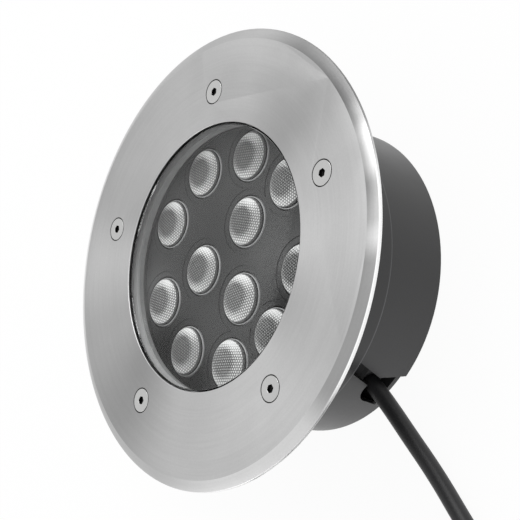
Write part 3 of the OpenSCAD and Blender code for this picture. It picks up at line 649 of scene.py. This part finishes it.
# Lens cups
# Twelve grey moulded cups on the board: each grips its lens by a thin rounded lip that stands through the
# lens plate.
lens_count = 12
lens_boxes = [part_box(f"lens_{k + 1}") for k in range(lens_count)]
lens_places = np.array([[(low.x + high.x) / 2, (low.y + high.y) / 2] for low, high in lens_boxes])
lens_low, lens_high = lens_boxes[0]
lens_r = (lens_high.x - lens_low.x) / 2
lens_foot_z = lens_low.z
dome_h = 0.0008
lens_rim_t = 0.0013
lens_rim_z = lens_high.z - dome_h
cone_height_shares = np.array([0, 0.2, 0.45, 0.7, 0.87])
cone_radius_shares = np.array([0.36, 0.55, 0.73, 0.87, 0.96])
snug = 0.0001
cup_low, cup_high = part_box("lens_holders")
cup_wall = 0.0006
cup_r = lens_r + cup_wall
cup_foot_share = 0.62
cup_shoulder_share = 0.55
cup_bore_gap = 0.0003
cup_edge_r = 0.00025
cup_segments = 96


def rounded(profile, radius, steps=4):
    """Profile (radius, height) with every inner corner of its line replaced by the quadratic curve that
    leaves and meets the two edges at one distance from the corner, at most 0.45 of the shorter edge."""
    corner = profile[1:-1]
    before, after = profile[:-2] - corner, profile[2:] - corner
    length = np.minimum(np.linalg.norm(before, axis=1), np.linalg.norm(after, axis=1))[:, None]
    reach = np.minimum(radius, 0.45 * length)
    start, end = corner + unit(before) * reach, corner + unit(after) * reach
    t = np.linspace(0, 1, steps + 1)[None, :, None]
    curve = (1 - t) ** 2 * start[:, None] + 2 * t * (1 - t) * corner[:, None] + t ** 2 * end[:, None]
    return np.concatenate([profile[:1], curve.reshape(-1, 2), profile[-1:]])


def turned_points(profile, segments):
    """Points of a profile (radius, height) turned round the z axis, one ring for each of its points."""
    angle = np.linspace(0, 2 * np.pi, segments, endpoint=False)
    height = np.broadcast_to(profile[:, None, 1], (len(profile), segments))
    return np.stack([profile[:, None, 0] * np.cos(angle), profile[:, None, 0] * np.sin(angle), height],
                    axis=-1).reshape(-1, 3)


def turned_rings(profile, segments, places):
    """Points and faces of a closed profile (radius, height) turned round each place."""
    one = turned_points(profile, segments)
    shift = np.concatenate([np.asarray(places, float), np.zeros((len(places), 1))], axis=1)
    faces = grid_faces(len(profile) + 1, segments) % len(one)
    count = np.arange(len(places))[:, None, None] * len(one)
    return (shift[:, None] + one).reshape(-1, 3), (faces + count).reshape(-1, 4)


def loop_rounded(profile, radius, steps=3):
    """The same softening for a profile that closes on itself."""
    closed = np.concatenate([profile[-1:], profile, profile[:1]])
    return rounded(closed, radius, steps)[1:-1]


cone_h = lens_rim_z - lens_rim_t - lens_foot_z
cone_heights = lens_foot_z + cone_h * cone_height_shares
cup_inner = np.stack([lens_r * cone_radius_shares + snug, cone_heights], axis=1)
cup_profile = np.concatenate([
    [[lens_r * cone_radius_shares[0] + cup_bore_gap, cup_low.z], [cup_r * cup_foot_share, cup_low.z],
     [cup_r, lens_foot_z + cup_shoulder_share * cone_h], [cup_r, cup_high.z], [lens_r + snug, cup_high.z],
     [lens_r + snug, lens_rim_z - lens_rim_t]],
    cup_inner[::-1]])
cup_points, cup_faces = turned_rings(loop_rounded(cup_profile, cup_edge_r), cup_segments, lens_places)
cups = make_piece("lens_cups", cup_points, cup_faces)
stand_for(cups, finish("cup_plastic", (0.42, 0.42, 0.425), 0.3, grains=3000.0, spread=0.1),
          "holder_plastic", "lens_holders")


# Lenses
# Clear moulded collimators: a cone that catches the emitter's light, and a low domed front covered with
# small round beads in honeycomb rows. From outside the cone's wall shows as a bright crescent round a dim
# disc; here the front is opaque and that crescent and disc are a painted reflection in its colour.
front_steps = 131
bead_row = 0.001
bead_h = 0.0002
# of each lens: the degrees that its rows are turned by, and the strength of the painted glints on its beads
bead_turns = (46.5, 46.5, 46.5, 15, 55.5, 46.5, 3, 54, 19.5, 7.5, 36, 30)
bead_glint_gains = (1.15, 1.15, 1.2, 0.88, 1.05, 1.05, 1.4, 0.9, 1.8, 0.96, 0.95, 1.25)
# way that the painted light comes from: the painted lens crescents face it, and painted side shading runs
# along it
painted_light_way = math.radians(126.7)
pocket_r, pocket_h = 0.0028, 0.0026
rim_edge = 0.0001
rim_fade_share = 0.05
rim_bead = 0.3
bead_root, top_power = 0.5, 1.4
# middle, reach and strength of each painted reflection round the disc
painted_crescent_reflections = ((1.47, 0.66, 1.2), (-1.55, 0.85, 0.43), (-0.1, 0.8, 0.14))
disc_shift_x, disc_shift_y, disc_narrow = 0.24, -0.02, math.sqrt(0.85)
wall_tone, disc_tone, brightest = 0.16, 0.12, 0.95
# painted shade at the lens rim: how far it is shifted to one side and how dark it gets
rim_shift, rim_painted_shade = 0.07, 0.1
# shares of the radius where the painted disc turns into the painted wall reflection and where the painted
# shade at the rim begins
disc_edge_shares, rim_edge_shares = (0.45, 0.85), (0.93, 0.98)
# painted glint that a bead adds, and the brightness that the painted shade between beads keeps, on the disc
# and on the wall
disc_bead, wall_bead, disc_ground, wall_ground = 3.0, 2.3, 0.25, 0.45
ground_rough, bead_rough = 0.35, 0.15


def disc_grid(steps):
    """Square grid on [-1, 1] drawn onto a disc so that its square rings become circles: on each ring the
    angle runs evenly from one diagonal to the next."""
    u, v = np.meshgrid(np.linspace(-1, 1, steps), np.linspace(-1, 1, steps), indexing="ij")
    flat = np.abs(u) > np.abs(v)
    radius = np.where(flat, u, v)
    safe = np.where(radius == 0, 1, radius)
    angle = np.where(flat, np.pi / 4 * v / safe, np.pi / 2 - np.pi / 4 * u / safe)
    return radius * np.cos(angle), radius * np.sin(angle)


def rim_order(steps):
    """Point numbers along the edge of a square grid, once round against the clock."""
    side = np.arange(steps - 1)
    last = steps - 1
    return np.concatenate([(last * steps) + side, (last - side) * steps + last,
                           last - side, side * steps])


def bead_lens(name, middle, turn, gain):
    """Front: a spherical cap plus honeycomb rows of beads, faded out at the rim. A bead is the sum of three
    cosine waves 60 degrees apart, which runs from -3/2 to 3, brought to 0 to 1. Behind the front come the
    rim, the stepped cone and the emitter's pocket."""
    a, b = disc_grid(front_steps)
    x, y = lens_r * a, lens_r * b
    apart = np.hypot(a, b)
    ways = np.radians(turn + np.array([0, 60, 120]))
    waves = sum(np.cos(2 * np.pi * (x * np.cos(way) + y * np.sin(way)) / bead_row) for way in ways)
    bump = (np.maximum(waves, -1.5) + 1.5) / 4.5
    fade = np.clip((1 - apart) / rim_fade_share, 0, 1)
    bulge = dome_h * (1 - apart ** 2) - bead_h * (1 - bump ** bead_root) * fade
    front = np.stack([middle[0] + x, middle[1] + y, lens_rim_z + bulge], axis=-1).reshape(-1, 3)
    rim = rim_order(front_steps)
    below = np.concatenate([
        [[1, lens_rim_z - rim_edge], [1, lens_rim_z - lens_rim_t]],
        np.stack([cone_radius_shares, cone_heights], axis=1)[::-1],
        [[pocket_r / lens_r, lens_foot_z], [pocket_r / lens_r, lens_foot_z + pocket_h]]])
    edge = np.stack([a.ravel()[rim], b.ravel()[rim]], axis=1) * lens_r
    skirt = np.concatenate([
        np.array(middle)[None, None] + below[:, None, :1] * edge[None],
        np.broadcast_to(below[:, None, 1:], (len(below), len(edge), 1))], axis=-1).reshape(-1, 3)
    first = len(front)
    points = np.concatenate([front, skirt, [[middle[0], middle[1], lens_foot_z + pocket_h]]])
    row, col = np.meshgrid(np.arange(front_steps - 1), np.arange(front_steps - 1), indexing="ij")
    here = row * front_steps + col
    face = np.stack([here, here + front_steps, here + front_steps + 1, here + 1], axis=-1).reshape(-1, 4)
    ring = first + np.arange(len(edge))
    wall = np.stack([rim, ring, np.roll(ring, -1), np.roll(rim, -1)], axis=1)
    sides = grid_faces(len(below), len(edge), first)[:, ::-1]
    end = first + (len(below) - 1) * len(edge) + np.arange(len(edge))
    piece = make_piece(name, points, face, wall, sides, fan_faces(end, len(points) - 1, turned=True))
    toward = math.cos(painted_light_way), math.sin(painted_light_way)
    flat = (points[:, :2] - np.array(middle)) / lens_r
    own = np.stack([flat @ (toward[1], -toward[0]), flat @ toward], axis=1)
    give_map(piece, "lens_map", own[loop_points(piece.data)])
    # Painted glints: the bead tops, times the lens's gain, brighten its colour and also set its gloss
    tops = gain * (bump ** top_power * fade + rim_bead * (1 - fade))
    tops = np.concatenate([tops.ravel(), np.zeros(len(points) - first)])
    marked = piece.data.attributes.new("bead_top", "FLOAT", "POINT")
    marked.data.foreach_set("value", tops.astype(np.float32))
    return piece


def swell(tree, value, middle, width):
    """Bell curve round a middle value: e to the power of minus the squared distance over the width."""
    apart = maths(tree, "DIVIDE", maths(tree, "SUBTRACT", value, middle), width)
    squared = times(tree, apart, apart)
    return maths(tree, "EXPONENT", times(tree, squared, -1.0))


def ease(tree, value, low, high, out_low=0.0, out_high=1.0):
    """Smooth step of a value from low to high."""
    return add(tree, "ShaderNodeMapRange", {0: value, 1: low, 2: high, 3: out_low, 4: out_high},
               interpolation_type="SMOOTHSTEP").outputs[0]


# Painted reflection: a dim disc and the bright crescent of the cone's wall, in the lens's colour
lens_material, tree, shader = blank("bead_lens")
own = split(tree, place_on(tree, "UV"))
off_x = maths(tree, "ADD", own["X"], disc_shift_x)
off_y = maths(tree, "ADD", own["Y"], disc_shift_y)
disc_reach = reach_of(tree, off_x, times(tree, off_y, disc_narrow))
heading = maths(tree, "ARCTAN2", off_y, off_x)
wall = wall_tone
for middle, width, strength in painted_crescent_reflections:
    wall = times_plus(tree, swell(tree, heading, middle, width), strength, wall)
on_wall = ease(tree, disc_reach, *disc_edge_shares)
tone = times_plus(tree, on_wall, maths(tree, "SUBTRACT", wall, disc_tone), disc_tone)
reach = times_plus(tree, own["X"], rim_shift, reach_of(tree, own["X"], own["Y"]))
# Painted shade: darker at the rim
tone = times(tree, tone, ease(tree, reach, *rim_edge_shares, 1.0, rim_painted_shade))
# Painted glints on the bead tops and painted shade between them
bead = add(tree, "ShaderNodeAttribute", attribute_name="bead_top").outputs["Fac"]
swing = times_plus(tree, on_wall, wall_bead - disc_bead, disc_bead)
ground = times_plus(tree, on_wall, wall_ground - disc_ground, disc_ground)
tone = times(tree, tone, times_plus(tree, bead, swing, ground))
tone = maths(tree, "MINIMUM", tone, brightest)
feed(tree, shader, {"Base Color": scaled(tree, (1.0, 1.0, 1.0), tone),
                    "Roughness": ease(tree, bead, 0.0, 0.8, ground_rough, bead_rough)})
for k in range(lens_count):
    lens = bead_lens(f"bead_lens_{k + 1}", lens_places[k], bead_turns[k], bead_glint_gains[k])
    stand_for(lens, lens_material, "clear_lens", f"lens_{k + 1}")


# Lens plate
# Dark painted pressing that hides the board: twelve dished holes for the lens cups and an upturned edge.
plate_paint = finish("plate_paint", (0.06, 0.06, 0.0605), 0.35, grains=60.0, spread=0.3, depth=0.0)
plate_paint.node_tree.nodes["Principled BSDF"].inputs["Specular IOR Level"].default_value = 0.05
plate_edge_r = 0.00022
# x, y, reach and gain of the painted reflections, dark and light, on the plate
painted_reflection_spots = ((0.002, -0.048, 0.015, -0.95), (0.027, -0.042, 0.012, -0.9), (0.041, 0.010, 0.010, -0.9),
               (-0.043, 0.026, 0.012, 0.3), (0.016, 0.020, 0.014, 0.4), (0.028, 0.030, 0.011, 0.8),
               (-0.044, -0.014, 0.012, 0.4), (-0.008, -0.008, 0.016, -0.3),
               (-0.021, -0.040, 0.011, 1.0))


def toned(material, share):
    """Multiplies a finish's colour by a value that changes over the piece."""
    tree, shader, colour = painted(material)
    feed(tree, shader, {"Base Color": scaled(tree, colour, share)})


def with_painted_spots(material, spots):
    """Soft round places of painted reflection that darken or lighten the tone of a finish."""
    tree = material.node_tree
    spot = spot_on(tree)
    total = 1.0
    for x, y, reach, gain in spots:
        near = times(tree, swell(tree, spot["X"], x, reach), swell(tree, spot["Y"], y, reach))
        total = times_plus(tree, near, gain, total)
    toned(material, total)


# Painted reflections: soft dark and light places in the plate's colour
with_painted_spots(plate_paint, painted_reflection_spots)
dressed("lens_plate", "dished_plate", plate_edge_r, plate_paint, "dark_plate", steps=3)


# Cover glass and its seals
# Stepped toughened glass, 8 mm thick with ground edges, clamped by the ring between a black rubber seal
# over its step and a pale silicone seal under it.
glass_low, glass_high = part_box("cover_glass")
glass_gap = 0.0003
glass_step_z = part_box("glass_gasket_upper")[0].z
opening_r = 0.05265
glass_r = opening_r - glass_gap
glass_chamfer = 0.0005
glass_edge_r = 0.00018
glass_segments = 256
glass_tint, smeared_tint = (0.985, 0.995, 0.99, 1), (0.97, 0.985, 0.98, 1)
glass_shine = (0.12, 0.12, 0.12, 1)
smear_grains = 60.0
# from, to, and the shares of the seal's tone there: painted shade, darker on one side
seal_painted_shade = (-0.05, 0.015, 1.0, 0.5)
glass_profile = np.array([
    [0, glass_high.z], [glass_r - glass_chamfer, glass_high.z], [glass_r, glass_high.z - glass_chamfer],
    [glass_r, glass_step_z], [glass_high.x, glass_step_z], [glass_high.x, glass_low.z], [0, glass_low.z]])


def turned_solid(name, profile, segments):
    """Solid of revolution: a profile (radius, height) from the axis back to the axis, whose two poles are
    single points."""
    rings = turned_points(profile[1:-1], segments)
    poles = np.array([[0, 0, profile[0, 1]], [0, 0, profile[-1, 1]]])
    ring = np.arange(segments)
    sides = grid_faces(len(profile) - 2, segments)[:, ::-1]
    return make_piece(name, np.concatenate([rings, poles]), sides,
                      fan_faces(ring, len(rings)),
                      fan_faces(len(rings) - segments + ring, len(rings) + 1, turned=True))


glass = turned_solid("front_glass", rounded(glass_profile, glass_edge_r, 3), glass_segments)
glass.data.set_sharp_from_angle(angle=math.radians(20))
clear, tree, shader = blank("toughened_glass")
smear = noise(tree, place_on(tree), smear_grains, 4.0, 0.65)
feed(tree, shader, {
    "Transmission Weight": 1.0, "IOR": 1.5, "Roughness": 0.0, "Specular Tint": glass_shine,
    "Base Color": blend_colours(tree, smear, glass_tint, smeared_tint)})
# Shadow and diffuse rays pass straight through, so that what lies under the glass is lit as it is in air
rays = add(tree, "ShaderNodeLightPath").outputs
straight = maths(tree, "MAXIMUM", rays["Is Shadow Ray"], rays["Is Diffuse Ray"])
mix_shaders(tree, straight, shader, add(tree, "ShaderNodeBsdfTransparent"))
stand_for(glass, clear, "clear_glass", "cover_glass")
wear("glass_gasket_upper", rubber_seal)


def painted_side_shading(material, low, high, share_low, share_high):
    """Painted light and shade: a soft change of tone across a piece, along the way that the painted light
    comes from.
    """
    tree = material.node_tree
    spot = spot_on(tree)
    side = times_plus(tree, spot["X"], math.cos(painted_light_way),
                      times(tree, spot["Y"], math.sin(painted_light_way)))
    toned(material, ease(tree, side, low, high, share_low, share_high))


seal_silicone = finish("seal_silicone", (0.56, 0.56, 0.564), 0.5, spread=0.12)
# Painted shade: the pale seal darker on one side
painted_side_shading(seal_silicone, *seal_painted_shade)
wear("glass_gasket_lower", seal_silicone)


# Face ring and its screws
# Stainless disc faced on a lathe, so its polish runs round in fine circles, with a bevel and a thin
# upright lip outside; the lip carries a painted highlight on one side, and the face and bevel carry painted
# reflections that change by the way round. Five countersunk hexagon-socket screws clamp it to the
# housing.
mark_bend, mark_spread = 1.5, 0.16
turning_group, given, result = effect_group(
    "turning_marks", {"Lines per Metre": 900.0}, ("Tone", "Height"))
tree = turning_group
spot = split(tree, given["Vector"])
radius = reach_of(tree, spot["X"], spot["Y"])
round_way = maths(tree, "ARCTAN2", spot["Y"], spot["X"])
wrapped = add(tree, "ShaderNodeCombineXYZ", {
    0: times(tree, radius, given["Lines per Metre"]),
    1: times(tree, maths(tree, "SINE", round_way), mark_bend),
    2: times(tree, maths(tree, "COSINE", round_way), mark_bend)})
lines = noise(tree, wrapped.outputs[0], 1.0, 3.0, 0.7)
feed(tree, result, {"Tone": around_one(tree, lines, mark_spread), "Height": lines})


def round_ramp(tree, heading, stops):
    """Grey tone by the way round, from (degrees, tone) stops that close on themselves."""
    ramp = add(tree, "ShaderNodeValToRGB", {0: heading})
    ramp.color_ramp.interpolation = "EASE"
    keys = ramp.color_ramp.elements
    for k, (degrees, tone) in enumerate(stops):
        key = keys[k] if k < 2 else keys.new(degrees / 360)
        key.position = degrees / 360
        key.color = (tone, tone, tone, 1)
    return ramp.outputs["Color"]


bevel_low_r = 0.0857
rim_r = 0.08955
tone_edge = 0.0001
ring_edge_r, head_edge_r = 0.0002, 0.00012
# painted highlight on the lip: its way round, its edges, its grey and how far it stops being metal
lip_highlight_turn = math.radians(-38)
lip_highlight_low, lip_highlight_high = 0.84, 0.94
lip_highlight_grey, lip_highlight_paint = 0.97, 0.95
face_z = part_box("face_ring")[1].z
screw_ring_r, screw_count, screw_phase_share = 0.0665, 5, -2 / 72
screw_gap_low_r, screw_gap_high_r = 0.00497, 0.00525
screw_gap_shade_dark = 0.03
wall_shade, wall_low, wall_high, wall_reach = 0.8, 0.0006, 0.0001, 0.0003
cloud_grains, cloud_spread, fine_grains, fine_spread = 28.0, 0.14, 1400.0, 0.1
steel_rough, steel_rough_spread = 0.26, 0.16
mark_depth = 0.000012
map_scale = 20
face_painted_reflections = ((0, 0.73), (24, 0.6), (50, 0.76), (72, 0.69), (95, 0.5), (125, 0.62), (160, 0.63),
              (205, 0.56), (225, 0.71), (252, 0.54), (278, 0.41), (312, 0.68), (359.9, 0.73))
bevel_painted_reflections = ((0, 0.85), (14, 0.43), (30, 0.42), (42, 0.42), (48, 0.76), (53, 0.5), (60, 0.36),
               (65, 0.54), (72, 0.58), (78, 0.32), (84, 0.21), (104, 0.28), (124, 0.56), (200, 0.68),
               (227, 0.85), (265, 0.6), (300, 0.63), (335, 0.93), (359.9, 0.85))
steel, tree, shader = blank("turned_steel")
place = place_on(tree)
spot = split(tree, place)
heading = maths(tree, "DIVIDE", maths(tree, "ARCTAN2", spot["Y"], spot["X"]), 2 * math.pi)
heading = maths(tree, "FRACT", maths(tree, "ADD", heading, 1.0))
radius = reach_of(tree, spot["X"], spot["Y"])
on_bevel = ease(tree, radius, bevel_low_r - tone_edge, bevel_low_r + tone_edge)

# Painted shade: the opening's wall and the thin gap round each screw head are darkened. The distance from the
# nearest screw is that of two sides and the angle between them.
near_opening = maths(tree, "LESS_THAN", radius, opening_r + wall_reach)
sunk = ease(tree, spot["Z"], face_z - wall_low, face_z - wall_high, wall_shade, 0.0)
painted_gap_shade = maths(tree, "SUBTRACT", 1.0, times(tree, near_opening, sunk))
past_screw = times_plus(tree, heading, screw_count, 0.5 - screw_phase_share)
past_screw = maths(tree, "SUBTRACT", maths(tree, "FRACT", past_screw), 0.5)
past_screw = maths(tree, "COSINE", times(tree, past_screw, 2 * math.pi / screw_count))
both_sides = times_plus(tree, radius, radius, screw_ring_r ** 2)
between = times(tree, radius, past_screw, -2 * screw_ring_r)
squared = maths(tree, "MAXIMUM", maths(tree, "ADD", both_sides, between), 0.0)
from_screw = maths(tree, "SQRT", squared)
screw_gap_shade = ease(tree, from_screw, screw_gap_low_r, screw_gap_high_r, screw_gap_shade_dark, 1.0)
painted_gap_shade = times(tree, painted_gap_shade, screw_gap_shade)
# Painted reflections: the face and the bevel take a grey tone by the way round
tone = blend_colours(tree, on_bevel, round_ramp(tree, heading, face_painted_reflections),
                     round_ramp(tree, heading, bevel_painted_reflections))
marks = add(tree, "ShaderNodeGroup", {"Vector": place}, node_tree=turning_group).outputs
cloud = noise(tree, place, cloud_grains, 3.0, 0.6)
fine = noise(tree, place, fine_grains, 2.0, 0.6)
patch = times(tree, around_one(tree, cloud, cloud_spread), around_one(tree, fine, fine_spread),
              marks["Tone"], painted_gap_shade)
# Painted highlight: the lip near-white and not metallic on one side
lip_highlight_side = maths(tree, "COSINE", times_plus(tree, heading, 2 * math.pi, lip_highlight_turn))
lip_highlight = times(tree, ease(tree, lip_highlight_side, lip_highlight_low, lip_highlight_high),
               ease(tree, radius, rim_r - tone_edge, rim_r + tone_edge))
with_lip_highlight = blend_colours(tree, lip_highlight, tone, (lip_highlight_grey, lip_highlight_grey, lip_highlight_grey, 1))
feed(tree, shader, {
    "Base Color": scaled(tree, with_lip_highlight, maths(tree, "MAXIMUM", patch, lip_highlight)),
    "Metallic": times_plus(tree, lip_highlight, -lip_highlight_paint, 1.0),
    "Roughness": times_plus(tree, cloud, steel_rough_spread, steel_rough),
    "Normal": raised(tree, marks["Height"], mark_depth), "Anisotropic": 0.55,
    "Tangent": add(tree, "ShaderNodeTangent", direction_type="UV_MAP", uv_map="turned_map").outputs[0]})

ring = dressed("face_ring", "steel_ring", ring_edge_r, steel, "stainless")
x, y = point_places(ring.data)[loop_points(ring.data), :2].T
give_map(ring, "turned_map", np.stack([np.arctan2(y, x), map_scale * np.hypot(x, y)], axis=1))

screw_steel = finish("screw_steel", (0.62, 0.62, 0.61), 0.3, metallic=1.0, grains=1800.0, spread=0.12,
                     depth=0.00001)
head_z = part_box("face_screws")[1].z
socket_shade_low, socket_shade_high = 0.00025, 0.00006
head_steel = finish("head_steel", (0.72, 0.72, 0.715), 0.3, metallic=1.0, grains=1800.0, spread=0.1,
                    depth=0.00001)
head_tree = head_steel.node_tree
# Painted shade: the hexagon socket darker below the head's top
toned(head_steel, ease(head_tree, spot_on(head_tree)["Z"], head_z - socket_shade_low,
                       head_z - socket_shade_high, 0.1, 1.0))
dressed("face_screws", "socket_screws", head_edge_r, head_steel, "screw_steel")
for screws in ("board_screws", "driver_screws", "back_cover_screws"):
    wear(screws, screw_steel)


# Driver
# Green circuit board on posts in the bay behind the lenses, with its transformer, capacitors and terminal
# block on the side that faces the back cover.
board_green = finish("circuit_board", (0.015, 0.12, 0.04), 0.4, grains=700.0, spread=0.3)
wear("driver_board", board_green)
wear("driver_transformer", finish("winding_tape", (0.6, 0.42, 0.04), 0.35, spread=0.15))
wear("driver_capacitors", finish("capacitor_sleeve", (0.012, 0.014, 0.05), 0.3))
wear("terminal_block", finish("terminal_plastic", (0.03, 0.16, 0.07), 0.5))
wear("back_cover_gasket", rubber_seal)


# Gland
# Black nylon cord gland screwed into the cover's block; its domed nut squeezes a rubber seal on the cord.
gland_edge_r = 0.0003
nylon = finish("gland_nylon", (0.02, 0.02, 0.021), 0.45, spread=0.15)
dressed("gland_body", "gland_stem", gland_edge_r, nylon, "gland_plastic")
dressed("gland_nut", "gland_cap", gland_edge_r, nylon, "gland_plastic")
wear("gland_seal", rubber_seal)
wear("cord_inner", rubber_seal)
wear("supply_cores", finish("core_brown_inside", core_colours["brown"], 0.35))


# Mounting sleeve and its seals
# Black moulded sleeve that stays in the ground: a cup with drain holes, a notch and a slot for the cord, a
# collar and a gusseted flange. A rubber ring in the bore holds the lamp, a flat seal lies between flanges.
sleeve_skin_r, sleeve_base_z, collar_low_z = 0.06258, 0.0025, 0.0278
inside_painted_shade, collar_dim = 0.7, 0.2
collar_highlight_w, collar_highlight_gain = 0.0004, 3.5
sleeve_painted_sides = (-0.02, 0.02, 1.3, 0.82)
sleeve_edge_r = 0.0003
sleeve_plastic = finish("sleeve_plastic", (0.021, 0.021, 0.022), 0.33, grains=2200.0, spread=0.14,
                        depth=0.00003)
# Painted shade inside the bore and the notch, a painted highlight along the collar's lower edge, the collar
# darker above it, and painted light and shade on the two sides
tree = sleeve_plastic.node_tree
height = spot_on(tree)["Z"]
over_line = ease(tree, height, collar_low_z, collar_low_z + collar_highlight_w)
on_collar_highlight = swell(tree, height, collar_low_z, collar_highlight_w)
shade = times_plus(tree, inside_cup(tree, sleeve_skin_r, sleeve_base_z), -inside_painted_shade, 1.0)
shade = times_plus(tree, over_line, -collar_dim, shade)
toned(sleeve_plastic, times_plus(tree, on_collar_highlight, collar_highlight_gain, shade))
painted_side_shading(sleeve_plastic, *sleeve_painted_sides)
dressed("mounting_sleeve", "ground_sleeve", sleeve_edge_r, sleeve_plastic, "sleeve_plastic", steps=3)
wear("flange_seal", rubber_seal)
wear("sleeve_o_ring", rubber_seal)
